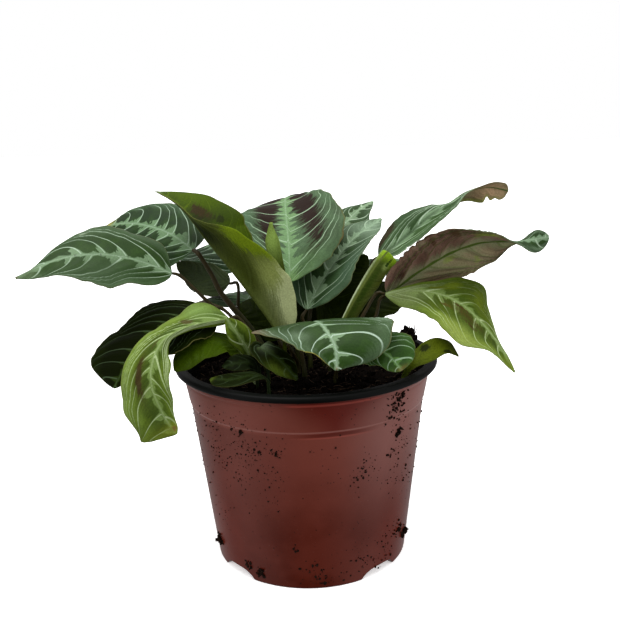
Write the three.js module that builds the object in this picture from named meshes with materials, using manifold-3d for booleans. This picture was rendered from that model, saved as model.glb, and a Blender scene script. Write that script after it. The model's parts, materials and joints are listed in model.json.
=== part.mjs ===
// A prayer plant in its two-colour nursery pot. Millimetres, +Z up, standing on z = 0.
// -Y is the front and +X is the right. Places below are measured from the pot's axis.
import * as THREE from 'three';
import Module from 'manifold-3d';

// Pot sizes
const POT_HEIGHT = 100;
const RIM_RADIUS = 65;
const BASE_RADIUS = 48.5;
const BAND_RADIUS = 58.3;
const BAND_HEIGHT = 81;
const BAND_STEP = 0.5;
const STEP_HEIGHT = 1;
const NECK_RADIUS = 61.6;
const LIP_HEIGHT = 3.1;
const LIP_ROUND = 0.9;
const WALL = 0.8;
const GAP = 0.3;
const FLOOR_HEIGHT = 5;
const FLOOR_THICKNESS = 1;
const FOOT_WIDTH = 2.5;
const ARCH_WIDTH = 21;
const ARCH_HEIGHT = 4.4;
const ARCH_DEPTH = 24;
const ARCH_TURN = -48;
const DRAIN_RADIUS = 4;
const DRAIN_CIRCLE = 34;
const DRAIN_COUNT = 6;
const DRAIN_SIDES = 14;
const AROUND = 48;

// Soil sizes, with a heap against the wall at the back right
const SOIL_EDGE = 91;
const SOIL_CROWN = 2.5;
const SOIL_BUMP = 0.9;
const SOIL_RINGS = [0.9, 0.76, 0.62, 0.48, 0.34, 0.2, 0.08];
const HEAP_HEIGHT = 8;
const HEAP_PLACE = [49, 22];
const HEAP_SPREAD = [11, 14];
const HOLE_SLACK = 0.85;
const SPROUT_HOLE = 1.7;
const HOLE_BOTTOM = 80;
const HOLE_DEPTH = 30;
const HOLE_SIDES = 7;
const ROOT_BOTTOM = 81;

// Leaf sizes
const RIB_THICKNESS = 1.3;
const EDGE_THICKNESS = 0.8;
const LEAST_HALF = 0.8;
const STALK_ROOT_RADIUS = 1.7;
const STALK_TOP_RADIUS = 1.0;
const STALK_SIDES = 6;
const STALK_STEPS = 8;
const STALK_CLEAR = 0.6;
const STALK_LEAD = 5;
const BLADE_ROWS = 12;
const SPROUT_ROWS = 14;

// Each leaf: the stalk's bends from the soil up, the midrib's bends from the blade's base to its tip,
// the way the upper side looks from base to tip, the half widths left and right of the rib,
// the rise of both halves at the rib and their bend across in degrees, left then right,
// and the height, the number and the start of the edge's waves.
const DARK_GREEN = 0x3f5f45;
const GREY_GREEN = 0x5b7a5e;
const DEEP_GREEN = 0x2c3c1c;
const LIME_GREEN = 0x73892f;
const OLIVE = 0x6f7a2c;
const RED_BROWN = 0x6a5044;
const STALK_BROWN = 0x4a332a;
const FLAT = [[0], [0]];
const DROOP = [[-10], [-10]];
const LEAVES = [
  { name: 'leaf_far_left', colour: GREY_GREEN, stalk: [[-16, -4, 97], [-34, -3, 116], [-49, -2, 131]],
    rib: [[-64, -2, 144], [-80, -8, 152], [-96, -14, 156], [-113, -20, 155], [-131, -26, 148]],
    face: [[0, -0.42, 0.9], [0, -0.5, 0.87], [0, -0.6, 0.8]],
    left: [8, 14, 19, 22, 18, 12, 7, 2], right: [10, 18, 22, 24, 23, 22, 19, 13, 5, 1, 1],
    fold: [[5, 0], [15, 12, 5, 0]], curl: [[-20, -10], [-20, -20]], wave: [1.0, 2.5, 0.4] },
  { name: 'leaf_upper_left', colour: DARK_GREEN,
    stalk: [[-19, 3, 98], [-27, 3, 113], [-41, 6, 131], [-46, 8, 141]],
    rib: [[-55, 12, 153], [-67, 26, 159], [-81, 42, 162], [-96, 55, 163], [-111, 65, 161]],
    face: [[-0.39, -0.42, 0.82], [-0.3, -0.5, 0.8]], left: [15, 22, 24, 18, 9, 3],
    right: [12, 16, 19, 21, 23, 22, 14, 6], fold: FLAT, curl: [[-15], [-20, -15]], wave: [1.2, 2.5, 1.0] },
  { name: 'leaf_olive', colour: OLIVE, stalk: [[-4, -10, 98]],
    rib: [[-9, -15, 110], [-21, -14, 129], [-34, -12, 147], [-46, -6, 161], [-55, 4, 171],
      [-64, 12, 178], [-73, 20, 182]],
    face: [[0.8, -0.1, 0.6], [0.8, 0, 0.6], [0.5, 0.1, 0.85]],
    left: [6, 13, 20, 22, 21, 19, 11, 4, 2, 1, 1], right: [4, 8, 11, 14, 20, 23, 24, 25, 19, 10, 2],
    fold: [[80, 75, 60, 42, 28, 10, 0], [50, 45, 40, 42, 50, 50]], curl: [[15], [10, -10]],
    wave: [0.5, 2, 0.4] },
  { name: 'leaf_center', colour: DARK_GREEN, stalk: [[-4, 3, 98], [-6, 2, 120]],
    rib: [[-7, 2, 137], [-7, 14, 150], [-8, 30, 162], [-9, 46, 171], [-9, 62, 174], [-9, 74, 170]],
    face: [[-0.15, -0.7, 0.7]], left: [8, 14, 18, 22, 25, 27, 27, 20, 4],
    right: [8, 18, 26, 30, 30, 27, 21, 12, 4], fold: [[0], [0, 0, 0, 5, 5]], curl: DROOP,
    wave: [1.2, 3, 0.4] },
  { name: 'leaf_center_right', colour: DARK_GREEN, stalk: [[2, 0, 98], [1, 3, 112]],
    rib: [[1, 6, 122], [8, 13, 133], [18, 24, 145], [28, 36, 154], [43, 48, 162]],
    face: [[-0.3, -0.7, 0.6]], left: [8, 13, 17, 17, 14, 11, 10, 9, 5, 2],
    right: [8, 14, 19, 18, 15, 14, 13, 11, 7, 2], fold: [[20, 10], [30, 20]], curl: DROOP,
    wave: [1.0, 2.5, 2.4] },
  { name: 'leaf_upper_right', colour: DARK_GREEN, stalk: [[13, 7, 98], [27, 14, 124]],
    rib: [[40, 28, 144], [53, 34, 152], [66, 38, 162], [78, 40, 170], [88, 41, 176], [99, 40, 178],
      [109, 37, 176]],
    face: [[-0.2, -0.7, 0.7], [-0.2, -0.7, 0.7], [-0.2, -0.7, 0.7], [-0.1, -0.2, 0.95], [0, 0.9, 0.4]],
    left: [5, 8, 11, 11, 9, 6, 4, 6, 9, 7, 5], right: [8, 9, 9, 10, 11, 12, 10, 5, 3, 4, 4],
    ends: [0.1, 0.04], fold: [[10, 10, 10, 0, -75, -75, -10], [20, 30, 0]], curl: FLAT,
    wave: [0.8, 2.5, 0] },
  { name: 'leaf_red_under', colour: RED_BROWN, stalk: [[10, 2, 98], [25, 3, 107], [35, 6, 116]],
    rib: [[42, 9, 128], [59, 6, 141], [76, 2, 151], [91, -1, 155], [104, -5, 155], [117, -9, 157]],
    face: [[0, 0.8, 0.6], [0, 0.75, 0.65], [0, 0.7, 0.7], [0, 0.3, 0.95], [0, -0.9, 0.3]],
    left: [4, 8, 10, 13, 14, 15, 16, 15, 5, 6, 4], right: [7, 12, 17, 20, 20, 20, 21, 16, 5, 7, 5],
    ends: [0.08, 0.08], fold: [[-15, -25, -30, -30, 0], [0]], curl: [[0], [-10]], wave: [1.0, 3, 0] },
  { name: 'leaf_lime', colour: LIME_GREEN, stalk: [[12, -4, 98], [26, -3, 116]],
    rib: [[40, 0, 130], [58, -5, 132], [73, -13, 128], [85, -20, 117], [93, -24, 105], [98, -26, 96]],
    face: [[0, -0.7, 0.7], [0.3, -0.7, 0.6], [0.6, -0.6, 0.4]],
    left: [2, 3, 5, 8, 16, 20, 11, 5, 2, 2, 2], right: [4, 9, 11, 14, 17, 19, 19, 17, 9, 5, 2], fold: FLAT,
    curl: [[-10], [0]], wave: [1.0, 2.5, 1.0] },
  { name: 'leaf_rolled', colour: OLIVE, cols: 5, stalk: [[12, -10, 98], [14, -12, 107]],
    rib: [[17, -15, 117], [25, -15, 132], [34, -14, 146], [40, -13, 153]],
    face: [[0.5, 0.8, -0.3]], left: [9, 11, 13, 13], right: [9, 11, 13, 13], ends: [0.02, 0.02],
    fold: [[5], [5]], curl: [[165], [165]], wave: [0, 2, 0] },
  { name: 'leaf_front', colour: GREY_GREEN, stalk: [[-1, -16, 98]],
    rib: [[-2, -14, 114], [1, -24, 122], [6, -38, 126], [10, -50, 124], [13, -58, 119], [13, -63, 111]],
    face: [[0.12, 0, 1], [0.1, -0.4, 0.9], [0.1, -0.9, 0.3]],
    left: [5, 12, 23, 32, 35, 36, 34, 31, 27, 18, 4], right: [8, 12, 17, 25, 30, 26, 20, 16, 13, 8, 3],
    fold: FLAT, curl: DROOP, wave: [1.0, 2.5, 1.0] },
  { name: 'leaf_low_left', colour: DEEP_GREEN, stalk: [[-20, -10, 98], [-32, -11, 119]],
    rib: [[-44, -12, 127], [-60, -22, 126], [-76, -34, 116], [-86, -44, 100]],
    face: [[-0.2, -0.5, 0.8], [-0.5, -0.5, 0.6]], left: [12, 20, 20, 12, 4],
    right: [5, 12, 20, 24, 22, 23, 28, 29, 27, 15], fold: FLAT, curl: DROOP, wave: [1.0, 2.5, 1.0] },
  { name: 'leaf_hanging', colour: LIME_GREEN, stalk: [[-14, -15, 98], [-25, -18, 116]],
    rib: [[-35, -22, 125], [-44, -31, 126], [-53, -41, 126], [-61, -51, 123], [-65, -58, 115],
      [-65, -62, 106], [-61, -64, 95], [-56, -64, 85]],
    face: [[0, -0.4, 0.9], [-0.1, -0.6, 0.8], [-0.2, -0.8, 0.6], [-0.3, -0.9, 0.1], [0.1, -0.95, -0.1]],
    left: [3, 3, 3, 3, 3, 5, 8, 8, 7, 4, 2], right: [12, 17, 15, 13, 12, 12, 15, 17, 18, 16, 20],
    ends: [0.06, 0.04], fold: [[-80, -90, -80, -20, -10, -10], [10, -10, -25, -10, -10, -20]],
    curl: [[-10], [0]], wave: [0.8, 2.5, 1.0] },
  { name: 'leaf_back_tip', colour: DARK_GREEN, stalk: [[0, 16, 98], [4, 24, 124]],
    rib: [[12, 34, 144], [20, 46, 156], [30, 58, 165], [40, 66, 170]],
    face: [[-0.2, -0.5, 0.8]], left: [8, 12, 9, 2], right: [8, 13, 10, 2], fold: FLAT, curl: DROOP,
    wave: [1.0, 2.5, 1.0] },
  { name: 'leaf_back_left', colour: DARK_GREEN, stalk: [[-8, 20, 98], [-19, 28, 124]],
    rib: [[-32, 32, 140], [-44, 50, 148], [-54, 70, 148], [-62, 88, 140]],
    face: [[-0.2, -0.2, 0.9]], left: [12, 22, 20, 3], right: [12, 22, 20, 3], fold: FLAT, curl: DROOP,
    wave: [1.2, 2.5, 1.0] },
  { name: 'leaf_grey', colour: DEEP_GREEN, stalk: [[-27, 6, 98], [-34, 10, 114]],
    rib: [[-38, 14, 135], [-48, 18, 137], [-58, 24, 140], [-67, 32, 144]],
    face: [[-0.2, -0.6, 0.7]], left: [6, 10, 9, 5, 2], right: [4, 8, 9, 6, 2], fold: FLAT, curl: DROOP,
    wave: [1.0, 2.5, 1.0] },
  { name: 'leaf_shade_back', colour: DEEP_GREEN, stalk: [[-1, 21, 98]],
    rib: [[-1, 23, 109], [0, 28, 117], [2, 34, 124], [5, 42, 129]],
    face: [[0, -0.7, 0.7]], left: [7, 12, 11, 3], right: [7, 12, 11, 3], fold: FLAT, curl: DROOP,
    wave: [1.0, 2.5, 1.0] },
  { name: 'leaf_shade_left', colour: DEEP_GREEN, stalk: [[-12, 7, 98]],
    rib: [[-14, 9, 106], [-19, 12, 115], [-26, 15, 121], [-34, 18, 123]],
    face: [[0, -0.6, 0.8]], left: [5, 9, 9, 3], right: [5, 9, 9, 3], fold: FLAT, curl: DROOP,
    wave: [1.0, 2.5, 1.0] },
  { name: 'leaf_shade_right', colour: DEEP_GREEN, stalk: [[14, 15, 98]],
    rib: [[22, 19, 110], [34, 23, 119], [46, 27, 123], [58, 31, 121]],
    face: [[0, -0.6, 0.8]], left: [7, 12, 12, 3], right: [7, 10, 10, 3], fold: FLAT, curl: DROOP,
    wave: [1.0, 2.5, 1.0] },
  { name: 'leaf_shade_center', colour: DEEP_GREEN, stalk: [[8, 12, 98]],
    rib: [[11, 15, 110], [17, 20, 124], [24, 28, 136], [34, 36, 144]],
    face: [[0, -0.7, 0.7]], left: [6, 11, 11, 3], right: [6, 11, 11, 3], fold: FLAT, curl: DROOP,
    wave: [1.0, 2.5, 1.0] },
  { name: 'leaf_back_a', colour: DARK_GREEN, stalk: [[14, 24, 98], [22, 36, 118]],
    rib: [[34, 46, 130], [46, 60, 136], [60, 76, 134], [72, 92, 122]],
    face: [[0, 0, 1]], left: [12, 22, 21, 4], right: [12, 22, 21, 4], fold: FLAT, curl: DROOP,
    wave: [1.2, 2.5, 1.0] },
  { name: 'leaf_back_b', colour: GREY_GREEN, stalk: [[2, 26, 98], [4, 42, 122]],
    rib: [[6, 56, 136], [10, 74, 141], [12, 92, 136], [12, 108, 122]],
    face: [[0, 0, 1]], left: [13, 24, 23, 4], right: [13, 24, 23, 4], fold: FLAT, curl: DROOP,
    wave: [1.2, 2.5, 0.2] },
  { name: 'leaf_back_c', colour: DARK_GREEN, stalk: [[-14, 29, 99], [-20, 37, 111]],
    rib: [[-30, 48, 118], [-42, 62, 120], [-54, 76, 114], [-64, 88, 100]],
    face: [[0, 0, 1]], left: [12, 21, 20, 4], right: [12, 21, 20, 4], fold: FLAT, curl: DROOP,
    wave: [1.2, 2.5, 1.7] },
  { name: 'leaf_front_right', colour: DARK_GREEN, stalk: [[14, -24, 98]],
    rib: [[20, -29, 106], [28, -37, 113], [36, -44, 112], [42, -50, 106]],
    face: [[0, -0.3, 0.9], [0.3, -0.7, 0.5]], left: [9, 16, 17, 8], right: [8, 11, 9, 4], fold: FLAT,
    curl: DROOP, wave: [0.8, 2.5, 1.0] },
  { name: 'leaf_backlit', colour: DEEP_GREEN, stalk: [[-26, -16, 98]],
    rib: [[-31, -20, 110], [-40, -27, 116], [-50, -35, 115], [-58, -44, 107]],
    face: [[-0.2, -0.6, 0.8]], left: [5, 9, 9, 3], right: [5, 8, 8, 3], fold: FLAT, curl: DROOP,
    wave: [0.8, 2.5, 1.0] },
];

// Small leaves that are one body with their stalk: the rib starts in the soil.
const SPROUTS = [
  { name: 'leaf_young', colour: LIME_GREEN,
    rib: [[-11, -2, 82], [-11, -2, 95], [-10, -2, 113], [-9, -3, 131], [-13, -3, 150], [-15, 1, 167]],
    face: [[0.2, -0.9, 0.3]], left: [1, 1, 1, 1, 1, 2, 3, 4, 2], right: [1, 1, 1, 1, 1, 2, 3, 3, 1] },
  { name: 'leaf_over_rim', colour: LIME_GREEN,
    rib: [[45, -30, 82], [45, -30, 95], [49, -31, 103], [58, -28, 107], [66, -25, 108], [72, -23, 104]],
    face: [[-0.5, -0.6, 0.6], [0.1, -0.6, 0.8]], left: [1, 1, 2, 6, 7, 2], right: [1, 1, 2, 4, 3, 1] },
  { name: 'leaf_soil_left', colour: DEEP_GREEN,
    rib: [[-17, -41, 82], [-17, -41, 94], [-18, -41, 101], [-24, -44, 104], [-33, -46, 103],
      [-43, -41, 102]],
    face: [[0, -0.3, 0.95]], left: [1, 1, 1, 5, 6, 3], right: [1, 1, 1, 4, 5, 3] },
  { name: 'leaf_soil_back', colour: DEEP_GREEN,
    rib: [[-23, -29, 82], [-23, -29, 94], [-23, -29, 101], [-26, -31, 106], [-31, -34, 107],
      [-38, -36, 106]],
    face: [[0, -0.6, 0.8]], left: [1, 1, 1, 4, 5, 2], right: [1, 1, 1, 4, 5, 2] },
  { name: 'leaf_crumpled', colour: OLIVE,
    rib: [[-18, -22, 82], [-18, -22, 96], [-19, -24, 107], [-21, -30, 113], [-17, -34, 112],
      [-11, -38, 108], [-4, -43, 101]],
    face: [[-0.7, -0.5, 0.2], [0, -0.7, 0.7], [0.2, -0.8, 0.5]],
    left: [1, 1, 1, 2, 4, 5, 5, 2], right: [1, 1, 1, 2, 5, 7, 6, 2] },
  { name: 'leaf_scrap', colour: LIME_GREEN,
    rib: [[-25, -23, 82], [-25, -23, 96], [-27, -25, 110], [-31, -28, 119], [-36, -28, 127]],
    face: [[0, -1, 0.2]], left: [1, 1, 1, 4, 5, 2], right: [1, 1, 1, 5, 6, 2] },
];
const SPROUT_WAVE = [0.6, 2.5, 1.0];
const ROUND_ENDS = [0.1, 0.12];

// Smooth curve through points, with straight run-outs at both ends
function curve(points) {
  const p = points.map((q) => new THREE.Vector3(...q));
  const last = p.length - 1;
  const beyond = (from, next) => from.clone().multiplyScalar(2).sub(next);
  const ext = [beyond(p[0], p[1]), ...p, beyond(p[last], p[last - 1])];
  return (t) => {
    const x = Math.min(Math.max(t, 0) * last, last - 1e-9);
    const i = Math.floor(x);
    const u = x - i;
    const [a, b, c, d] = ext.slice(i, i + 4);
    return new THREE.Vector3()
      .addScaledVector(a, (-u + 2 * u ** 2 - u ** 3) / 2)
      .addScaledVector(b, (2 - 5 * u ** 2 + 3 * u ** 3) / 2)
      .addScaledVector(c, (u + 4 * u ** 2 - 3 * u ** 3) / 2)
      .addScaledVector(d, (u ** 3 - u ** 2) / 2);
  };
}

// Values of t that split a curve into equal lengths
function evenStops(line, count) {
  const fine = 400;
  const lengths = [0];
  let before = line(0);
  for (let i = 1; i <= fine; i++) {
    const here = line(i / fine);
    lengths.push(lengths[i - 1] + here.distanceTo(before));
    before = here;
  }
  const stops = [];
  for (let i = 0, k = 0; i <= count; i++) {
    const want = (lengths[fine] * i) / count;
    while (k < fine - 1 && lengths[k + 1] < want) k++;
    stops.push((k + (want - lengths[k]) / (lengths[k + 1] - lengths[k])) / fine);
  }
  return stops;
}

// Straight steps between the values of a list
function between(list, t) {
  const x = t * (list.length - 1);
  const i = Math.min(Math.floor(x), list.length - 2);
  return list.length === 1 ? list[0] : list[i] + (list[i + 1] - list[i]) * (x - i);
}

function tangents(points) {
  return points.map((p, i) => {
    const a = points[Math.max(i - 1, 0)];
    const b = points[Math.min(i + 1, points.length - 1)];
    return b.clone().sub(a).normalize();
  });
}

// Middle surface of a blade as rows of points from its base to its tip
function bladeGrid(leaf, rows, cols) {
  const { rib, face, left, right, fold = FLAT, curl = FLAT, wave = SPROUT_WAVE, ends = ROUND_ENDS } = leaf;
  const line = curve(rib);
  const spine = evenStops(line, rows).map((u) => line(u));
  const along = tangents(spine);
  const widths = [left, right].map((w) => curve(w.map((v) => [v, 0, 0])));
  const degrees = Math.PI / 180;
  return spine.map((p, i) => {
    const t = i / rows;
    const up = new THREE.Vector3(...[0, 1, 2].map((k) => between(face.map((f) => f[k]), t)));
    up.addScaledVector(along[i], -up.dot(along[i])).normalize();
    const side = new THREE.Vector3().crossVectors(along[i], up);
    const round = Math.sqrt(1 - Math.max(1 - t / ends[0], 0) ** 2)
      * Math.sqrt(Math.max(1 - Math.max((t - 1 + ends[1]) / ends[1], 0) ** 2, 0));
    const row = new Array(2 * cols + 1);
    row[cols] = p;
    for (const [k, sign] of [[0, -1], [1, 1]]) {
      const half = Math.max(widths[k](t).x * round, LEAST_HALF);
      const start = between(fold[k], t) * degrees;
      const bend = between(curl[k], t) * degrees;
      let at = p.clone();
      for (let j = 1; j <= cols; j++) {
        const angle = start + (bend * (j - 0.5)) / cols;
        at = at.clone().addScaledVector(side, (sign * Math.cos(angle) * half) / cols)
          .addScaledVector(up, (Math.sin(angle) * half) / cols);
        const ripple = wave[0] * (j / cols) ** 2 * Math.min(half / 12, 1)
          * Math.sin(2 * Math.PI * wave[1] * t + wave[2] + (k ? 0 : 1.9));
        row[cols + sign * j] = at.clone().addScaledVector(up, ripple);
      }
    }
    return row;
  });
}

// Closed shell around a grid, thickest along the rib, both faces split alike
function shell(grid) {
  const rows = grid.length;
  const cols = grid[0].length;
  const middle = (cols - 1) / 2;
  const at = (i, j) => grid[Math.min(Math.max(i, 0), rows - 1)][Math.min(Math.max(j, 0), cols - 1)];
  const positions = [];
  for (const sign of [1, -1]) {
    for (let i = 0; i < rows; i++) {
      for (let j = 0; j < cols; j++) {
        const along = at(i + 1, j).clone().sub(at(i - 1, j));
        const across = at(i, j + 1).clone().sub(at(i, j - 1));
        const up = across.cross(along).normalize();
        const near = 1 - Math.abs(j - middle) / middle;
        const half = (EDGE_THICKNESS + (RIB_THICKNESS - EDGE_THICKNESS) * near ** 2) / 2;
        positions.push(...at(i, j).clone().addScaledVector(up, sign * half).toArray());
      }
    }
  }
  const low = rows * cols;
  const index = [];
  const square = (a, b, c, d) => index.push(a, b, c, a, c, d);
  for (let i = 0; i + 1 < rows; i++) {
    for (let j = 0; j + 1 < cols; j++) {
      const a = i * cols + j;
      index.push(a, a + 1, a + cols + 1, a, a + cols + 1, a + cols);
      index.push(low + a, low + a + cols + 1, low + a + 1, low + a, low + a + cols, low + a + cols + 1);
    }
    const l = i * cols;
    const r = l + cols - 1;
    square(l, l + cols, low + l + cols, low + l);
    square(r + cols, r, low + r, low + r + cols);
  }
  for (let j = 0; j + 1 < cols; j++) {
    const e = (rows - 1) * cols + j;
    square(j + 1, j, low + j, low + j + 1);
    square(e, e + 1, low + e + 1, low + e);
  }
  return solid(positions, index);
}

function solid(positions, index) {
  const geometry = new THREE.BufferGeometry();
  geometry.setAttribute('position', new THREE.Float32BufferAttribute(positions, 3));
  geometry.setIndex(index);
  return geometry;
}

// Round rod along a curve, thinner towards its end, closed with flat ends
function rod(points, radii, steps, sides) {
  const line = curve(points);
  const spine = evenStops(line, steps).map((u) => line(u));
  const along = tangents(spine);
  const positions = [];
  const index = [];
  const aside = new THREE.Vector3(1, 0, 0);
  spine.forEach((p, i) => {
    aside.addScaledVector(along[i], -aside.dot(along[i])).normalize();
    const other = new THREE.Vector3().crossVectors(along[i], aside);
    const radius = radii[0] + (radii[1] - radii[0]) * (i / steps);
    for (let k = 0; k < sides; k++) {
      const turn = (2 * Math.PI * k) / sides;
      positions.push(...p.clone().addScaledVector(aside, radius * Math.cos(turn))
        .addScaledVector(other, radius * Math.sin(turn)).toArray());
    }
  });
  for (let i = 0; i < steps; i++) {
    for (let k = 0; k < sides; k++) {
      const a = i * sides + k;
      const b = i * sides + ((k + 1) % sides);
      index.push(a, b, b + sides, a, b + sides, a + sides);
    }
  }
  for (let k = 1; k + 1 < sides; k++) {
    const top = steps * sides;
    index.push(0, k + 1, k, top, top + k, top + k + 1);
  }
  return solid(positions, index);
}

function stalkPoints({ stalk, rib }) {
  const [x, y] = stalk[0];
  const base = new THREE.Vector3(...rib[0]);
  const away = base.clone().sub(new THREE.Vector3(...rib[1])).normalize();
  const end = base.clone().addScaledVector(away, STALK_CLEAR);
  const before = base.clone().addScaledVector(away, STALK_LEAD);
  return [[x, y, ROOT_BOTTOM], [x, y, 90], ...stalk, before.toArray(), end.toArray()];
}

// Outer radius of the pot's wall at a height
function wallRadius(z) {
  if (z <= BAND_HEIGHT) return BASE_RADIUS + ((BAND_RADIUS - BASE_RADIUS) * z) / BAND_HEIGHT;
  const above = z - BAND_HEIGHT;
  if (above < STEP_HEIGHT) return BAND_RADIUS + (BAND_STEP * above) / STEP_HEIGHT;
  const band = BAND_RADIUS + BAND_STEP;
  const rise = (above - STEP_HEIGHT) / (POT_HEIGHT - LIP_HEIGHT - BAND_HEIGHT - STEP_HEIGHT);
  return band + (NECK_RADIUS - band) * rise;
}

// Wall heights from one level up to another, with the band's step
function wallLine(from, to, inset) {
  return [from, BAND_HEIGHT, BAND_HEIGHT + STEP_HEIGHT, to].map((z) => [wallRadius(z) - inset, z]);
}

function turned(outline) {
  const points = outline.map(([r, z]) => new THREE.Vector2(r, z));
  return new THREE.LatheGeometry(points, AROUND).rotateX(Math.PI / 2);
}

// Terracotta layer with the raised floor and the foot ring
function potLayer() {
  const top = POT_HEIGHT - LIP_HEIGHT - GAP;
  const floor = FLOOR_HEIGHT + FLOOR_THICKNESS;
  return turned([
    [0, FLOOR_HEIGHT], [BASE_RADIUS - FOOT_WIDTH, FLOOR_HEIGHT], [BASE_RADIUS - FOOT_WIDTH, 0],
    ...wallLine(0, top, 0), ...wallLine(floor, top, WALL).reverse(), [0, floor],
  ]);
}

// Black inner layer that turns outward into the rim
function innerLayer() {
  const under = POT_HEIGHT - LIP_HEIGHT;
  const inset = WALL + GAP;
  const low = FLOOR_HEIGHT + FLOOR_THICKNESS + GAP;
  const inner = inset + WALL;
  const mouth = wallRadius(under) - inner;
  return turned([
    [0, low], ...wallLine(low, under, inset), [RIM_RADIUS - LIP_ROUND, under],
    [RIM_RADIUS, under + LIP_ROUND], [RIM_RADIUS, POT_HEIGHT - LIP_ROUND],
    [RIM_RADIUS - LIP_ROUND, POT_HEIGHT], [mouth + LIP_ROUND, POT_HEIGHT], [mouth, POT_HEIGHT - LIP_ROUND],
    ...wallLine(low + WALL, under - 1, inner).reverse(),
    [0, low + WALL],
  ]);
}

// Even noise from a place, always the same
function noise(x, y) {
  const wave = Math.sin(x * 12.9898 + y * 78.233) * 43758.5453;
  return 2 * (wave - Math.floor(wave)) - 1;
}

// Top of the soil: a low crown, crumbs and the heap
function soilHeight(x, y) {
  const r = Math.hypot(x, y) / wallRadius(SOIL_EDGE);
  const [fromX, fromY] = [x - HEAP_PLACE[0], y - HEAP_PLACE[1]];
  const heap = HEAP_HEIGHT * Math.exp(-((fromX / HEAP_SPREAD[0]) ** 2) - (fromY / HEAP_SPREAD[1]) ** 2);
  return SOIL_EDGE + SOIL_CROWN * (1 - r * r) + SOIL_BUMP * noise(Math.round(x), Math.round(y)) + heap;
}

function soilBody() {
  const inset = 2 * WALL + 2 * GAP;
  const low = FLOOR_HEIGHT + FLOOR_THICKNESS + GAP + WALL + GAP;
  const edge = wallRadius(SOIL_EDGE) - inset;
  const positions = [0, 0, low];
  const index = [];
  const ringAt = (radius, height) => {
    for (let k = 0; k < AROUND; k++) {
      const turn = (2 * Math.PI * k) / AROUND;
      const x = radius * Math.sin(turn);
      const y = radius * Math.cos(turn);
      positions.push(x, y, height ?? soilHeight(x, y));
    }
  };
  for (const [radius, z] of wallLine(low, SOIL_EDGE - 1, inset)) ringAt(radius, z);
  ringAt(edge, SOIL_EDGE);
  for (const part of SOIL_RINGS) ringAt(edge * part);
  positions.push(0, 0, soilHeight(0, 0));
  const ringCount = SOIL_RINGS.length + 5;
  const last = positions.length / 3 - 1;
  for (let k = 0; k < AROUND; k++) {
    const next = (k + 1) % AROUND;
    index.push(0, 1 + k, 1 + next);
    for (let i = 0; i + 1 < ringCount; i++) {
      const a = 1 + i * AROUND + k;
      const b = 1 + i * AROUND + next;
      index.push(a, a + AROUND, b + AROUND, a, b + AROUND, b);
    }
    const top = 1 + (ringCount - 1) * AROUND;
    index.push(top + k, last, top + next);
  }
  return solid(positions, index);
}

const wasm = await Module();
wasm.setup();

// A geometry as a manifold, with points that share a place merged
function toManifold(geometry) {
  const position = geometry.getAttribute('position');
  const seen = new Map();
  const points = [];
  const ids = [];
  for (let i = 0; i < position.count; i++) {
    const p = [position.getX(i), position.getY(i), position.getZ(i)].map((v) => Math.round(v * 1e4) / 1e4);
    const key = p.join();
    if (!seen.has(key)) {
      seen.set(key, points.length / 3);
      points.push(...p);
    }
    ids.push(seen.get(key));
  }
  const order = geometry.index ? Array.from(geometry.index.array) : ids.map((_, i) => i);
  const tris = [];
  for (let i = 0; i < order.length; i += 3) {
    const [a, b, c] = [0, 1, 2].map((k) => ids[order[i + k]]);
    if (a !== b && b !== c && c !== a) tris.push(a, b, c);
  }
  return new wasm.Manifold(new wasm.Mesh({
    numProp: 3, vertProperties: new Float32Array(points), triVerts: new Uint32Array(tris),
  }));
}

function toGeometry(manifold) {
  const mesh = manifold.getMesh();
  return solid(Array.from(mesh.vertProperties), Array.from(mesh.triVerts));
}

function cut(geometry, cutters) {
  return toGeometry(cutters.reduce((body, c) => body.subtract(toManifold(c)), toManifold(geometry)));
}

// Four arches between the feet
function footArches() {
  const arch = new THREE.Shape();
  arch.moveTo(-ARCH_WIDTH / 2, -1);
  arch.lineTo(ARCH_WIDTH / 2, -1);
  arch.lineTo(ARCH_WIDTH / 2, 1);
  arch.bezierCurveTo(ARCH_WIDTH / 2 - 1, ARCH_HEIGHT, ARCH_WIDTH / 4, ARCH_HEIGHT, 0, ARCH_HEIGHT);
  arch.bezierCurveTo(-ARCH_WIDTH / 4, ARCH_HEIGHT, 1 - ARCH_WIDTH / 2, ARCH_HEIGHT, -ARCH_WIDTH / 2, 1);
  const bar = new THREE.ExtrudeGeometry(arch, { depth: ARCH_DEPTH, bevelEnabled: false, curveSegments: 5 })
    .rotateX(Math.PI / 2).translate(0, ARCH_DEPTH / 2 - BASE_RADIUS, 0);
  return [0, 90, 180, 270].map((turn) => bar.clone().rotateZ(((turn + ARCH_TURN) * Math.PI) / 180));
}

function drainHoles() {
  return Array.from({ length: DRAIN_COUNT }, (_, i) => {
    const turn = (2 * Math.PI * (i + 0.5)) / DRAIN_COUNT;
    return new THREE.CylinderGeometry(DRAIN_RADIUS, DRAIN_RADIUS, 12, DRAIN_SIDES).rotateX(Math.PI / 2)
      .translate(DRAIN_CIRCLE * Math.cos(turn), DRAIN_CIRCLE * Math.sin(turn), FLOOR_HEIGHT);
  });
}

// Plain holes in the soil, one for each stem's foot
function stemHoles() {
  const hole = (x, y, radius) => new THREE.CylinderGeometry(radius, radius, HOLE_DEPTH, HOLE_SIDES)
    .rotateX(Math.PI / 2).translate(x, y, HOLE_BOTTOM + HOLE_DEPTH / 2);
  return [
    ...LEAVES.map(({ stalk: [[x, y]] }) => hole(x, y, STALK_ROOT_RADIUS + HOLE_SLACK)),
    ...SPROUTS.map(({ rib: [[x, y]] }) => hole(x, y, SPROUT_HOLE)),
  ];
}

function piece(name, geometry, colour, roughness) {
  const material = new THREE.MeshStandardMaterial({ color: colour, roughness, metalness: 0 });
  const mesh = new THREE.Mesh(geometry, material);
  mesh.name = name;
  return mesh;
}

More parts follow.
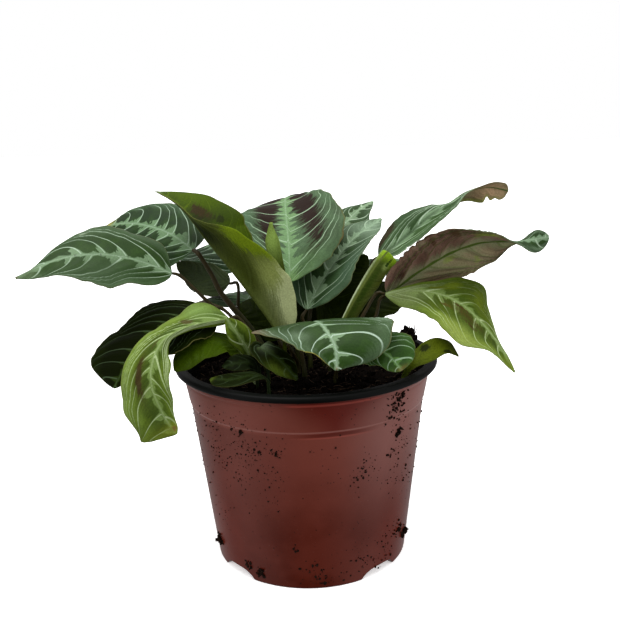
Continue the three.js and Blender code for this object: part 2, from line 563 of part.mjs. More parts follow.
const plant = new THREE.Group();
plant.name = 'potted_prayer_plant';
plant.add(piece('pot', cut(potLayer(), [...footArches(), ...drainHoles()]), 0x5b2f2c, 0.45));
plant.add(piece('pot_inner', cut(innerLayer(), drainHoles()), 0x171717, 0.5));
plant.add(piece('soil', cut(soilBody(), stemHoles()), 0x1c1512, 1));
for (const leaf of LEAVES) {
  plant.add(piece(leaf.name, shell(bladeGrid(leaf, BLADE_ROWS, leaf.cols ?? 2)), leaf.colour, 0.5));
  const stalk = rod(stalkPoints(leaf), [STALK_ROOT_RADIUS, STALK_TOP_RADIUS], STALK_STEPS, STALK_SIDES);
  plant.add(piece(leaf.name.replace('leaf', 'stalk'), stalk, STALK_BROWN, 0.6));
}
for (const leaf of SPROUTS) {
  plant.add(piece(leaf.name, shell(bladeGrid(leaf, SPROUT_ROWS, 2)), leaf.colour, 0.55));
}

// The middle of the whole outer box comes to x = 0, y = 0
const middle = new THREE.Box3().setFromObject(plant).getCenter(new THREE.Vector3());
for (const mesh of plant.children) mesh.geometry.translate(-middle.x, -middle.y, 0);

export default plant;
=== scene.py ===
import json
import math

import bmesh
import bpy
import numpy as np
from mathutils import Matrix, Vector


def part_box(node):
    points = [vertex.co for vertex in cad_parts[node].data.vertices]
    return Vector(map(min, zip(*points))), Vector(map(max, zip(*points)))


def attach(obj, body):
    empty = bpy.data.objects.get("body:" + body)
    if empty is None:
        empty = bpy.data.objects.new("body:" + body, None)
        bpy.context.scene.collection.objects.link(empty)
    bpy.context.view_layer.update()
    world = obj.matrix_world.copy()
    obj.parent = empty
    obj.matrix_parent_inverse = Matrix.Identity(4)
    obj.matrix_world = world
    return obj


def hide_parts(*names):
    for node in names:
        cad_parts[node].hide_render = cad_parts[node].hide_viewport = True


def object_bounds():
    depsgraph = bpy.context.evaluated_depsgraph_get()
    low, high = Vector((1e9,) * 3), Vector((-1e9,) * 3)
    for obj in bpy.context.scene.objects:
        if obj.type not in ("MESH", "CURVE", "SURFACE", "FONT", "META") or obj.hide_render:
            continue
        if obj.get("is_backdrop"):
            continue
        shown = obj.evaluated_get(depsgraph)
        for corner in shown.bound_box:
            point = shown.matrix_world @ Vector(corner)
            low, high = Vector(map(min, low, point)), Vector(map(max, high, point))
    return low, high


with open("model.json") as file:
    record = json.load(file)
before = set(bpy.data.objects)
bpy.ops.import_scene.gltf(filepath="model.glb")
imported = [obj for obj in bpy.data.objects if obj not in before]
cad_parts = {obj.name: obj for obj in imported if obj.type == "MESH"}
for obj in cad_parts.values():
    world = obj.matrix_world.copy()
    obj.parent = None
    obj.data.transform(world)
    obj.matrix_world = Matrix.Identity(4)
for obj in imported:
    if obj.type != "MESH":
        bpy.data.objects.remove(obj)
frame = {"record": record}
cad_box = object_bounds()

# Sizes are in millimetres, measured from the pot's axis and its foot, and turned into metres in the
# row frame by to_frame. The pot's axis is the middle of the CAD pot.
MM = 0.001
pot_low, pot_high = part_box("pot")
AXIS = np.array([(pot_low.x + pot_high.x) / 2, (pot_low.y + pot_high.y) / 2, 0.0])

# Pot sizes, with the turns in degrees
POT_HEIGHT = 100
RIM_RADIUS = 65
BASE_RADIUS = 48.5
BAND_RADIUS = 58.3
BAND_HEIGHT = 81
BAND_STEP = 0.5
STEP_HEIGHT = 1
NECK_RADIUS = 61.6
LIP_HEIGHT = 3.1
LIP_CORNER = 1.2
LAYER_GAP = 0.3
WALL = 0.8
FLOOR_HEIGHT = 5
FOOT_WIDTH = 2.5
FOOT_BLEND = 7.0
ARCH_HALF_TURN = 12.9
ARCH_HEIGHT = 4.4
ARCH_TURN = -48
# Turn of the middle of the painted dark reflection on the band, between the painted sheens
SHEEN_TURN = 12
AROUND = 288

# Soil sizes, and how many crumbs and fibres lie on it
SOIL_EDGE = 91
SOIL_SKIRT = 84.0
SOIL_CROWN = 2.5
SOIL_AROUND = 220
SOIL_RINGS = 74
HEAP_HEIGHT = 8
HEAP_PLACE = (49, 22)
HEAP_SPREAD = (11, 14)
PILE_PLACE = (54, 16)
PILE_RISE = 11
LOOSE_CRUMBS = 1300
PILE_CRUMBS = 300
PILE_FIBRES = 26
LOOSE_FIBRES = 420
RIM_CRUMBS = 9

# Leaf sizes. A grid is the number of steps along the blade and across each half.
BLADE_THICKNESS = 0.36
EDGE_THICKNESS = 0.2
LEAST_HALF = 0.8
RIB_RELIEF = 0.35
BLADE_GRID = (88, 22)
SPROUT_GRID = (80, 8)
LEAF_SEED = 100
SPROUT_SEED = 500
ROOT_BOTTOM = 81
SOIL_TOP = 90
STALK_ROOT_RADIUS = 1.7
STALK_TOP_RADIUS = 1.0
STALK_LEAD = 5
STALK_STEPS = 46
STALK_SIDES = 12

# Camera: its place, its pitch and roll in radians, its lens and the width of its sensor
CAMERA_PLACE = (2.64, -373.2, 207.4)
CAMERA_PITCH = math.radians(12.73)
CAMERA_ROLL = -0.0305
CAMERA_LENS = 44.86
SENSOR_WIDTH = 36.0

# The studio, in metres and watts
FLOOR_HALF = 12.0
SOFTBOX_PLACE = (-0.35, -0.15, 1.55)
SOFTBOX_SIZE = 0.9
SOFTBOX_POWER = 12
WHITE = (1, 1, 1, 1)

# Looks of a blade. Upper side: ground between the veins, blotch, feather along the rib, vein lines.
# Lower side: under, the part near the rib, its veins, and rib for how far the rib shows to each side.
# reach is how far out the blotches go, start how far out they begin, soft and depth how soft and how
# strong they are. teeth is the length of the feather's teeth beside the rib, comb how many stand
# between two veins, and fin how far it follows a vein. gloss is the strength of the shine. clouded
# blotches have fresher patches, and marked_above says that washes and stains, with the painted light
# and shade among them, show on the upper side.
LOOK = dict(under="66533f", under_rib="626b48", under_vein="4c5a30", soft=0.2, start=0.0, comb=2.0,
            rib=0.5, clouded=True, marked_above=True)
LOOKS = {
    "silver": dict(ground="3c5034", blotch="1d320d", feather="667e5e", vein="92a68f", reach=0.7, soft=0.22,
        depth=0.95, teeth=0.9, fin=4, gloss=0.07),
    "loops": dict(ground="405538", blotch="1b3209", feather="667e5e", vein="97ab98", reach=0.72, depth=0.95,
        teeth=0.5, comb=3, fin=2.6, gloss=0.09),
    "grey": dict(ground="3d5138", blotch="203416", feather="6c8464", vein="9aae94", reach=0.62, depth=0.85,
        teeth=1.6, fin=4.6, gloss=0.06),
    "brown": dict(ground="44593e", blotch="20150f", feather="628056", vein="8aa284", reach=0.62, soft=0.07,
        start=0.56, depth=1, teeth=3.2, comb=2.5, fin=3.2, gloss=0.035, clouded=False),
    "dark": dict(ground="374d32", blotch="16270f", feather="5a7452", vein="8b9f89", reach=0.7, soft=0.16,
        depth=0.9, teeth=1.4, fin=3.8, gloss=0.05),
    "fresh": dict(ground="2e4a1b", blotch="1e370e", feather="4a6c34", vein="7f987a", reach=0.6, soft=0.25,
        depth=0.8, teeth=0.5, fin=1.2, gloss=0.06),
    "deep": dict(ground="111901", blotch="080d00", feather="1e2b08", vein="384630", under="121901",
        under_rib="1e2905", under_vein="222e0a", reach=0.7, soft=0.15, depth=0.9, teeth=1, fin=1.5,
        gloss=0.01, clouded=False),
    "lime": dict(ground="566a1e", blotch="2e3e0c", feather="64793e", vein="98a87a", under="5c6b18",
        under_rib="6a7c2c", under_vein="788a42", reach=0.5, depth=0.85, teeth=1, fin=2.6, gloss=0.05),
    "olive": dict(ground="304000", blotch="1e2a00", feather="3e5004", vein="445608", under="3c4412",
        under_rib="465020", under_vein="4a5424", reach=0.5, depth=0.4, teeth=1, fin=1, rib=0.4, gloss=0.03),
    "plain": dict(ground="2f3a08", blotch="202806", feather="344008", vein="3f4c12", under="2f3a08",
        under_rib="344008", under_vein="3f4c12", reach=0.5, depth=0.4, teeth=0.5, fin=0.5, rib=0.4,
        gloss=0.02),
    "red": dict(ground="44563f", blotch="1c2f12", feather="5f765a", vein="84967f", under="87685a",
        under_rib="7d8260", under_vein="46581f", reach=0.6, soft=0.15, depth=0.9, teeth=2, comb=3, fin=3,
        rib=0.8, gloss=0.05, marked_above=False),
}

# Each leaf: the stalk's bends from the soil up, the midrib's bends from the blade's base to its tip,
# the way the upper side looks from base to tip, and the half widths left and right of the rib, where
# right is left out if both are alike. fold and curl are the rise of both halves at the rib and their
# bend across in degrees, left then right. wave is the height, the number and the start of the edge's
# waves. look names its colours, veins is how many side veins each half has, and pleat how deep the
# folds between them are. lean is how far the side veins run along the rib, ends how long the rounded
# base and tip are, and stalk_width how thick the stalk is, as a factor. nicks are dents of the edge:
# side, place, size, depth. washes are soft tints and stains are ragged ones: place along, place
# across from -1 at the left edge to 1 at the right one, size along and across, colour and strength.
# Besides the leaves' own marks, some washes and stains are painted light and shade: painted
# highlights, painted sheen and painted shade where blades curl, fold and pleat, and near-black
# painted shade on the shade leaves.
FLAT = ([0], [0])
DROOP = ([-10], [-10])
LEAF = dict(right=None, fold=FLAT, curl=DROOP, wave=(1, 2.5, 1), ends=(0.1, 0.12), lean=0.6,
            pleat=0.28, stalk_width=1, nicks=[], washes_and_painted_light=[], stains_and_painted_light=[])
LEAVES = {
    "far_left": dict(look="silver", stalk=[[-16, -4, 97], [-34, -3, 116], [-49, -2, 131]],
        rib=[[-64, -2, 144], [-80, -8, 152], [-96, -14, 156], [-113, -20, 155], [-131, -26, 148]],
        face=[[0, -0.42, 0.9], [0, -0.5, 0.87], [0, -0.6, 0.8]], left=[8, 14, 19, 22, 18, 12, 7, 2],
        right=[10, 18, 22, 24, 23, 22, 19, 13, 5, 1, 1], fold=([5, 0], [15, 12, 5, 0]),
        curl=([-20, -10], [-20, -20]), wave=(1, 2.5, 0.4), veins=6, lean=0.66,
        washes_and_painted_light=[(0.93, 0, 0.06, 1.5, "46583a", 0.8), (1, 0, 0.02, 1, "463a22", 0.9),
        (0.42, -0.55, 0.3, 0.5, "283c1e", 0.8)], stains_and_painted_light=[(0.3, 0.03, 0.008, 0.03, "1c1c12", 1),
        (0.47, -0.02, 0.008, 0.03, "1c1c12", 1), (0.62, 0.02, 0.008, 0.03, "1c1c12", 1),
        (0.55, 0.8, 0.04, 0.03, "8a9a80", 0.8)]),
    "upper_left": dict(look="dark", stalk=[[-19, 3, 98], [-27, 3, 113], [-41, 6, 131], [-46, 8, 141]],
        rib=[[-55, 12, 153], [-67, 26, 159], [-81, 42, 162], [-96, 55, 163], [-111, 65, 161]],
        face=[[-0.39, -0.42, 0.82], [-0.3, -0.5, 0.8]], left=[15, 22, 24, 18, 9, 3],
        right=[12, 16, 19, 21, 23, 22, 14, 6], curl=([-15], [-20, -15]), wave=(1.2, 2.5, 1), veins=7,
        stalk_width=1.45, washes_and_painted_light=[(0.98, 0, 0.03, 1, "86803a", 0.8), (0.1, 0.5, 0.12, 0.6, "1c2c12", 0.6)]),
    # The olive leaf's washes and stains paint light and shade on its rolled blade: painted light at the
    # lower right, painted shade in the middle and in the fold, and a painted lime highlight along the upper
    # edge; the brown streaks are its own
    "olive": dict(look="olive", stalk=[[-4, -10, 98]], rib=[[-9, -15, 110], [-21, -14, 129],
        [-34, -12, 147], [-46, -6, 161], [-55, 4, 171], [-64, 12, 178], [-73, 20, 182]],
        face=[[0.8, -0.1, 0.6], [0.8, 0, 0.6], [0.5, 0.1, 0.85]],
        left=[6, 13, 20, 22, 21, 19, 11, 4, 2, 1, 1], right=[4, 8, 11, 14, 20, 23, 24, 25, 19, 10, 2],
        fold=([80, 75, 60, 42, 28, 10, 0], [50, 45, 40, 42, 50, 50]), curl=([15], [10, -10]),
        wave=(0.5, 2, 0.4), veins=7, pleat=0.08, washes_and_painted_light=[(0.1, -0.8, 0.16, 0.5, "8f996a", 0.9),
        (0.28, -0.75, 0.09, 0.3, "85904c", 0.85), (0.43, -0.3, 0.12, 0.3, "2e360e", 0.8),
        (0.62, -0.3, 0.13, 0.4, "12170a", 0.95), (0.72, 0.2, 0.05, 0.25, "1a2004", 0.9),
        (0.68, 0.7, 0.08, 0.3, "263402", 0.7), (0.86, 0.6, 0.1, 0.5, "3c4e00", 0.75),
        (0.99, 0, 0.02, 1, "6a7a5a", 0.8)], stains_and_painted_light=[(0.46, -1, 0.1, 0.34, "5f7210", 1),
        (0.15, -0.85, 0.12, 0.4, "a4ac7c", 0.9), (0.76, 0.3, 0.05, 0.2, "2a220c", 0.8),
        (0.35, -0.12, 0.1, 0.05, "3a4416", 0.6), (0.83, -0.1, 0.03, 0.15, "2c240c", 0.7),
        (0.68, 0.5, 0.03, 0.15, "1c2404", 0.7)]),
    "center": dict(look="brown", stalk=[[-4, 3, 98], [-6, 2, 120]],
        rib=[[-7, 2, 137], [-7, 14, 150], [-8, 30, 162], [-9, 46, 171], [-9, 62, 174], [-9, 74, 170]],
        face=[[-0.15, -0.7, 0.7]], left=[8, 14, 18, 22, 25, 27, 27, 20, 4],
        right=[8, 18, 26, 30, 30, 27, 21, 12, 4], fold=([0], [0, 0, 0, 5, 5]), wave=(1.2, 3, 0.4), veins=7,
        washes_and_painted_light=[(0, 0, 0.06, 1, "5c7a42", 0.7), (0.12, -0.6, 0.1, 0.4, "3f5a30", 0.5),
        (0.12, 0.6, 0.1, 0.4, "3f5a30", 0.5), (0.6, -0.9, 0.2, 0.2, "46604a", 0.5)],
        stains_and_painted_light=[(0.3, 1, 0.12, 0.05, "5a4a2a", 0.6)]),
    "center_right": dict(look="grey", stalk=[[2, 0, 98], [1, 3, 112]],
        rib=[[1, 6, 122], [8, 13, 133], [18, 24, 145], [28, 36, 154], [43, 48, 162]],
        face=[[-0.3, -0.7, 0.6]], left=[8, 13, 17, 17, 14, 11, 10, 9, 5, 2],
        right=[8, 14, 19, 18, 15, 14, 13, 11, 7, 2], fold=([20, 10], [30, 20]), wave=(1, 2.5, 2.4), veins=6,
        washes_and_painted_light=[(0.88, 0, 0.16, 1, "7b9178", 0.7), (0.35, 0.75, 0.25, 0.3, "2f4430", 0.75),
        (0.3, -0.75, 0.25, 0.3, "2f4430", 0.75)]),
    # The upper right leaf's first wash, dark along the rib, is painted shade in the groove where its halves
    # fold together
    "upper_right": dict(look="grey", stalk=[[13, 7, 98], [27, 14, 124]],
        rib=[[40, 28, 144], [53, 34, 152], [66, 38, 162], [78, 40, 170], [88, 41, 176], [99, 40, 178],
        [109, 37, 176]], face=[[-0.2, -0.7, 0.7], [-0.2, -0.7, 0.7], [-0.2, -0.7, 0.7], [-0.1, -0.2, 0.95],
        [0, 0.9, 0.4]], left=[5, 8, 11, 11, 9, 6, 4, 6, 9, 7, 5],
        right=[8, 9, 9, 10, 11, 12, 10, 5, 3, 4, 4], ends=(0.1, 0.04),
        fold=([10, 10, 10, 0, -75, -75, -10], [20, 30, 0]), curl=FLAT, wave=(0.8, 2.5, 0), veins=6,
        lean=0.8, nicks=[(0, 0.86, 0.018, 0.35), (0, 0.93, 0.015, 0.15), (1, 0.16, 0.01, 0.1)],
        washes_and_painted_light=[(0.3, 0, 0.4, 0.14, "2a4020", 0.8), (0.3, 0.6, 0.3, 0.4, "3f5a2e", 0.6),
        (0.25, -0.6, 0.25, 0.3, "425a38", 0.6), (0.05, 0, 0.06, 1, "2c3a1c", 0.6),
        (0.88, -0.3, 0.14, 0.6, "a98d6c", 0.95), (0.8, -0.95, 0.14, 0.25, "93994f", 0.9),
        (0.9, 0.5, 0.1, 0.5, "a98d6c", 0.8)], stains_and_painted_light=[(0.14, -0.9, 0.12, 0.2, "2b2612", 0.9)]),
    # The red leaf's two dark washes on its upper half, at 0.3 and 0.48 along, are painted shade between its
    # pleats
    "red_under": dict(look="red", stalk=[[10, 2, 98], [25, 3, 107], [35, 6, 116]],
        rib=[[42, 9, 128], [59, 6, 141], [76, 2, 151], [91, -1, 155], [104, -5, 155], [117, -9, 157]],
        face=[[0, 0.8, 0.6], [0, 0.75, 0.65], [0, 0.7, 0.7], [0, 0.3, 0.95], [0, -0.9, 0.3]],
        left=[4, 8, 10, 13, 14, 15, 16, 15, 5, 6, 4], right=[7, 12, 17, 20, 20, 20, 21, 16, 5, 7, 5],
        ends=(0.08, 0.08), fold=([-15, -25, -30, -30, 0], [0]), curl=([0], [-10]), wave=(1, 3, 0), veins=7,
        nicks=[(1, 0.19, 0.008, 0.08), (1, 0.23, 0.006, 0.1), (1, 0.27, 0.01, 0.06), (1, 0.32, 0.007, 0.09),
        (1, 0.37, 0.008, 0.06), (1, 0.44, 0.01, 0.05), (0, 0.5, 0.02, 0.06)], pleat=0.9,
        washes_and_painted_light=[(0.5, -0.45, 0.4, 0.5, "868a60", 0.55), (0.22, -0.8, 0.15, 0.3, "654338", 0.7),
        (0.3, 0.35, 0.08, 0.3, "5a4034", 0.6), (0.48, 0.4, 0.06, 0.3, "5e4638", 0.6)],
        stains_and_painted_light=[(0.68, 0.75, 0.08, 0.25, "77803a", 0.8), (0.3, 0.96, 0.2, 0.06, "4a3428", 0.8),
        (0.8, 0.3, 0.05, 0.15, "8a9a3c", 0.8), (0.62, 0.4, 0.03, 0.2, "7a8040", 0.7),
        (0.85, -0.3, 0.05, 0.2, "8a9a3c", 0.7), (0.15, 0.3, 0.05, 0.2, "4a3226", 0.6),
        (0.42, -0.2, 0.05, 0.15, "7f8a4a", 0.7), (0.58, -0.6, 0.03, 0.2, "7f8a4a", 0.6),
        (0.52, 0.75, 0.03, 0.2, "55402c", 0.7), (0.4, 0.7, 0.02, 0.2, "55402c", 0.7)]),
    "lime": dict(look="lime", stalk=[[12, -4, 98], [26, -3, 116]],
        rib=[[40, 0, 130], [58, -5, 132], [73, -13, 128], [85, -20, 117], [93, -24, 105], [98, -26, 96]],
        face=[[0, -0.7, 0.7], [0.3, -0.7, 0.6], [0.6, -0.6, 0.4]],
        left=[2, 3, 5, 8, 16, 20, 11, 5, 2, 2, 2], right=[4, 9, 11, 14, 17, 19, 19, 17, 9, 5, 2],
        curl=([-10], [0]), veins=8, lean=0.72, washes_and_painted_light=[(0.4, -0.65, 0.2, 0.45, "37460f", 0.85),
        (0.1, 0.3, 0.14, 0.9, "6c7a4a", 0.7), (0.56, 0.2, 0.15, 0.09, "3a340e", 0.9),
        (0.4, 0.5, 0.14, 0.12, "3d4c0a", 0.9), (0.6, -0.3, 0.15, 0.12, "43520e", 0.8),
        (0.62, -0.65, 0.15, 0.3, "465410", 0.75), (0.62, 0.8, 0.2, 0.25, "7f8e42", 0.8),
        (0.97, 0, 0.08, 1.5, "5f6e18", 0.8)], stains_and_painted_light=[(0.5, 0.1, 0.1, 0.035, "3a2f10", 0.8),
        (0.62, 0.34, 0.09, 0.035, "3a2f10", 0.8), (0.55, -0.6, 0.07, 0.3, "4e5c12", 0.75),
        (0.38, -0.55, 0.05, 0.25, "4e5c12", 0.7), (0.42, 0.3, 0.06, 0.04, "44400f", 0.9),
        (0.3, -0.4, 0.06, 0.12, "46500f", 0.8)]),
    # The rolled leaf's washes and stain paint light and shade on the tube: a painted highlight along its
    # pale left edge, painted shade down its middle and right, and painted shade inside the lime opening at
    # the top
    "rolled": dict(look="olive", stalk=[[12, -10, 98], [14, -12, 107]],
        rib=[[17, -15, 117], [25, -15, 132], [34, -14, 146], [40, -13, 153]], face=[[0.5, 0.8, -0.3]],
        left=[9, 11, 13, 13], ends=(0.02, 0.02), fold=([5], [5]), curl=([165], [165]), wave=(0, 2, 0),
        veins=6, pleat=0, washes_and_painted_light=[(0.3, 0.22, 0.5, 0.08, "a3b08c", 0.9),
        (0.5, -0.15, 0.6, 0.15, "26360a", 0.95), (1, 0, 0.1, 3, "74921a", 0.9),
        (0.85, -0.28, 0.05, 0.1, "7d8f4c", 0.8)], stains_and_painted_light=[(0.9, -0.3, 0.08, 0.06, "223409", 0.7)]),
    # The front leaf's first two washes, pale grey-green, are painted sheen
    "front": dict(look="loops", stalk=[[-1, -16, 98]], rib=[[-2, -14, 114], [1, -24, 122], [6, -38, 126],
        [10, -50, 124], [13, -58, 119], [13, -63, 111]],
        face=[[0.12, 0, 1], [0.1, -0.4, 0.9], [0.1, -0.9, 0.3]],
        left=[5, 12, 23, 32, 35, 36, 34, 31, 27, 18, 4], right=[8, 12, 17, 25, 30, 26, 20, 16, 13, 8, 3],
        veins=7, washes_and_painted_light=[(0.4, -0.9, 0.15, 0.2, "869c82", 0.5), (0.62, 0.62, 0.07, 0.2, "7c9276", 0.3),
        (0.25, 0.5, 0.12, 0.35, "403e30", 0.8), (0.45, 0.5, 0.2, 0.3, "2a3c22", 0.7),
        (0.33, 1, 0.14, 0.16, "6b5648", 0.95), (1, 0, 0.02, 0.3, "5a4426", 0.9)],
        stains_and_painted_light=[(0.88, 1, 0.12, 0.07, "84803a", 0.9)]),
    "low_left": dict(look="deep", stalk=[[-20, -10, 98], [-32, -11, 119]],
        rib=[[-44, -12, 127], [-60, -22, 126], [-76, -34, 116], [-86, -44, 100]],
        face=[[-0.2, -0.5, 0.8], [-0.5, -0.5, 0.6]], left=[12, 20, 20, 12, 4],
        right=[5, 12, 20, 24, 22, 23, 28, 29, 27, 15], veins=7),
    "hanging": dict(look="lime", stalk=[[-14, -15, 98], [-25, -18, 116]],
        rib=[[-35, -22, 125], [-44, -31, 126], [-53, -41, 126], [-61, -51, 123], [-65, -58, 115],
        [-65, -62, 106], [-61, -64, 95], [-56, -64, 85]], face=[[0, -0.4, 0.9], [-0.1, -0.6, 0.8],
        [-0.2, -0.8, 0.6], [-0.3, -0.9, 0.1], [0.1, -0.95, -0.1]], left=[3, 3, 3, 3, 3, 5, 8, 8, 7, 4, 2],
        right=[12, 17, 15, 13, 12, 12, 15, 17, 18, 16, 20], ends=(0.06, 0.04),
        fold=([-80, -90, -80, -20, -10, -10], [10, -10, -25, -10, -10, -20]), curl=([-10], [0]),
        wave=(0.8, 2.5, 1), veins=9, lean=0.78, washes_and_painted_light=[(0.12, 0.6, 0.1, 0.5, "6e8848", 0.6),
        (0.8, -0.5, 0.15, 0.5, "4a5e1e", 0.45), (0.97, -0.3, 0.04, 0.9, "6f7a20", 0.8),
        (0.6, 0.85, 0.25, 0.2, "6f8440", 0.5), (0.66, 0.4, 0.12, 0.14, "3c400f", 0.8)],
        stains_and_painted_light=[(0.25, 0.35, 0.035, 0.25, "43401e", 0.9), (0.67, 0.4, 0.1, 0.1, "362d12", 1),
        (0.5, 0.22, 0.05, 0.05, "3c3e14", 0.8), (0.97, -0.4, 0.02, 0.5, "6a5a2a", 0.7)]),
    "back_tip": dict(look="grey", stalk=[[0, 16, 98], [4, 24, 124]],
        rib=[[12, 34, 144], [20, 46, 156], [30, 58, 165], [40, 66, 170]], face=[[-0.2, -0.5, 0.8]],
        left=[8, 12, 9, 2], right=[8, 13, 10, 2], veins=6),
    "back_left": dict(look="dark", stalk=[[-8, 20, 98], [-19, 28, 124]],
        rib=[[-32, 32, 140], [-44, 50, 148], [-54, 70, 148], [-62, 88, 140]], face=[[-0.2, -0.2, 0.9]],
        left=[12, 22, 20, 3], wave=(1.2, 2.5, 1), veins=7),
    "grey": dict(look="plain", stalk=[[-27, 6, 98], [-34, 10, 114]],
        rib=[[-38, 14, 135], [-48, 18, 137], [-58, 24, 140], [-67, 32, 144]], face=[[-0.2, -0.6, 0.7]],
        left=[6, 10, 9, 5, 2], right=[4, 8, 9, 6, 2], veins=6, washes_and_painted_light=[(0.5, 0, 1, 2, "3a4430", 0.8)]),
    # The shade leaves' near-black washes are painted shade, for leaves deep in the shaded middle of the
    # plant
    "shade_back": dict(look="plain", stalk=[[-1, 21, 98]],
        rib=[[-1, 23, 109], [0, 28, 117], [2, 34, 124], [5, 42, 129]], face=[[0, -0.7, 0.7]],
        left=[7, 12, 11, 3], veins=5, washes_and_painted_light=[(0.5, 0, 1, 2, "131c02", 0.95)]),
    "shade_left": dict(look="plain", stalk=[[-12, 7, 98]],
        rib=[[-14, 9, 106], [-19, 12, 115], [-26, 15, 121], [-34, 18, 123]], face=[[0, -0.6, 0.8]],
        left=[5, 9, 9, 3], veins=5, washes_and_painted_light=[(0.5, 0, 1, 2, "131c02", 0.95)]),
    "shade_right": dict(look="plain", stalk=[[14, 15, 98]],
        rib=[[22, 19, 110], [34, 23, 119], [46, 27, 123], [58, 31, 121]], face=[[0, -0.6, 0.8]],
        left=[7, 12, 12, 3], right=[7, 10, 10, 3], veins=5, washes_and_painted_light=[(0.5, 0, 1, 2, "0f1601", 0.95)]),
    "shade_center": dict(look="plain", stalk=[[8, 12, 98]],
        rib=[[11, 15, 110], [17, 20, 124], [24, 28, 136], [34, 36, 144]], face=[[0, -0.7, 0.7]],
        left=[6, 11, 11, 3], veins=5, washes_and_painted_light=[(0.5, 0, 1, 2, "131c02", 0.95)]),
    "back_a": dict(look="dark", stalk=[[14, 24, 98], [22, 36, 118]],
        rib=[[34, 46, 130], [46, 60, 136], [60, 76, 134], [72, 92, 122]], face=[[0, 0, 1]],
        left=[12, 22, 21, 4], wave=(1.2, 2.5, 1), veins=7),
    "back_b": dict(look="silver", stalk=[[2, 26, 98], [4, 42, 122]],
        rib=[[6, 56, 136], [10, 74, 141], [12, 92, 136], [12, 108, 122]], face=[[0, 0, 1]],
        left=[13, 24, 23, 4], wave=(1.2, 2.5, 0.2), veins=7),
    "back_c": dict(look="brown", stalk=[[-14, 29, 99], [-20, 37, 111]],
        rib=[[-30, 48, 118], [-42, 62, 120], [-54, 76, 114], [-64, 88, 100]], face=[[0, 0, 1]],
        left=[12, 21, 20, 4], wave=(1.2, 2.5, 1.7), veins=7),
    "front_right": dict(look="fresh", stalk=[[14, -24, 98]],
        rib=[[20, -29, 106], [28, -37, 113], [36, -44, 112], [42, -50, 106]],
        face=[[0, -0.3, 0.9], [0.3, -0.7, 0.5]], left=[9, 16, 17, 8], right=[8, 11, 9, 4],
        wave=(0.8, 2.5, 1), veins=6, washes_and_painted_light=[(1, 0, 0.05, 0.8, "5a4a24", 0.8)]),
    "backlit": dict(look="plain", stalk=[[-26, -16, 98]],
        rib=[[-31, -20, 110], [-40, -27, 116], [-50, -35, 115], [-58, -44, 107]], face=[[-0.2, -0.6, 0.8]],
        left=[5, 9, 9, 3], right=[5, 8, 8, 3], wave=(0.8, 2.5, 1), veins=5,
        washes_and_painted_light=[(0.5, 0, 1, 2, "2f4203", 0.85)]),
}

# Small leaves that are one body with their stalk: the rib starts in the soil
SPROUT = LEAF | dict(curl=FLAT, wave=(0.6, 2.5, 1.0), veins=4)
SPROUTS = {
    "young": dict(look="plain",
        rib=[[-11, -2, 82], [-11, -2, 95], [-10, -2, 113], [-9, -3, 131], [-13, -3, 150], [-15, 1, 167]],
        face=[[0.2, -0.9, 0.3]], left=[1, 1, 1, 1, 1, 2, 3, 4, 2], right=[1, 1, 1, 1, 1, 2, 3, 3, 1],
        washes_and_painted_light=[(0.92, 0, 0.12, 1.5, "768e44", 0.85)]),
    "over_rim": dict(look="plain", rib=[[45, -30, 82], [45, -30, 95], [49, -31, 103], [58, -28, 107],
        [66, -25, 108], [72, -23, 104]], face=[[-0.5, -0.6, 0.6], [0.1, -0.6, 0.8]],
        left=[1, 1, 2, 6, 7, 2], right=[1, 1, 2, 4, 3, 1], washes_and_painted_light=[(0.7, 0, 0.3, 1.5, "4c560c", 0.7)],
        stains_and_painted_light=[(0.85, 0.5, 0.06, 0.4, "1c2204", 0.9), (0.65, -0.6, 0.06, 0.3, "1c2204", 0.9)]),
    "soil_left": dict(look="deep", rib=[[-17, -41, 82], [-17, -41, 94], [-18, -41, 101], [-24, -44, 104],
        [-33, -46, 103], [-43, -41, 102]], face=[[0, -0.3, 0.95]], left=[1, 1, 1, 5, 6, 3],
        right=[1, 1, 1, 4, 5, 3], washes_and_painted_light=[(0.5, 0, 1, 2, "141b08", 0.6), (1, 0, 0.05, 2, "55651a", 0.7)]),
    "soil_back": dict(look="deep", rib=[[-23, -29, 82], [-23, -29, 94], [-23, -29, 101], [-26, -31, 106],
        [-31, -34, 107], [-38, -36, 106]], face=[[0, -0.6, 0.8]], left=[1, 1, 1, 4, 5, 2],
        washes_and_painted_light=[(0.5, 0, 1, 2, "10160a", 0.7)]),
    "crumpled": dict(look="deep", rib=[[-18, -22, 82], [-18, -22, 96], [-19, -24, 107], [-21, -30, 113],
        [-17, -34, 112], [-11, -38, 108], [-4, -43, 101]],
        face=[[-0.7, -0.5, 0.2], [0, -0.7, 0.7], [0.2, -0.8, 0.5]], left=[1, 1, 1, 2, 4, 5, 5, 2],
        right=[1, 1, 1, 2, 5, 7, 6, 2],
        washes_and_painted_light=[(0.85, 0.7, 0.1, 0.4, "4c5c1c", 0.8), (0.6, -0.3, 0.08, 0.5, "55634a", 0.6)]),
    "scrap": dict(look="lime", veins=3,
        rib=[[-25, -23, 82], [-25, -23, 96], [-27, -25, 110], [-31, -28, 119], [-36, -28, 127]],
        face=[[0, -1, 0.2]], left=[1, 1, 1, 4, 5, 2], right=[1, 1, 1, 5, 6, 2]),
}

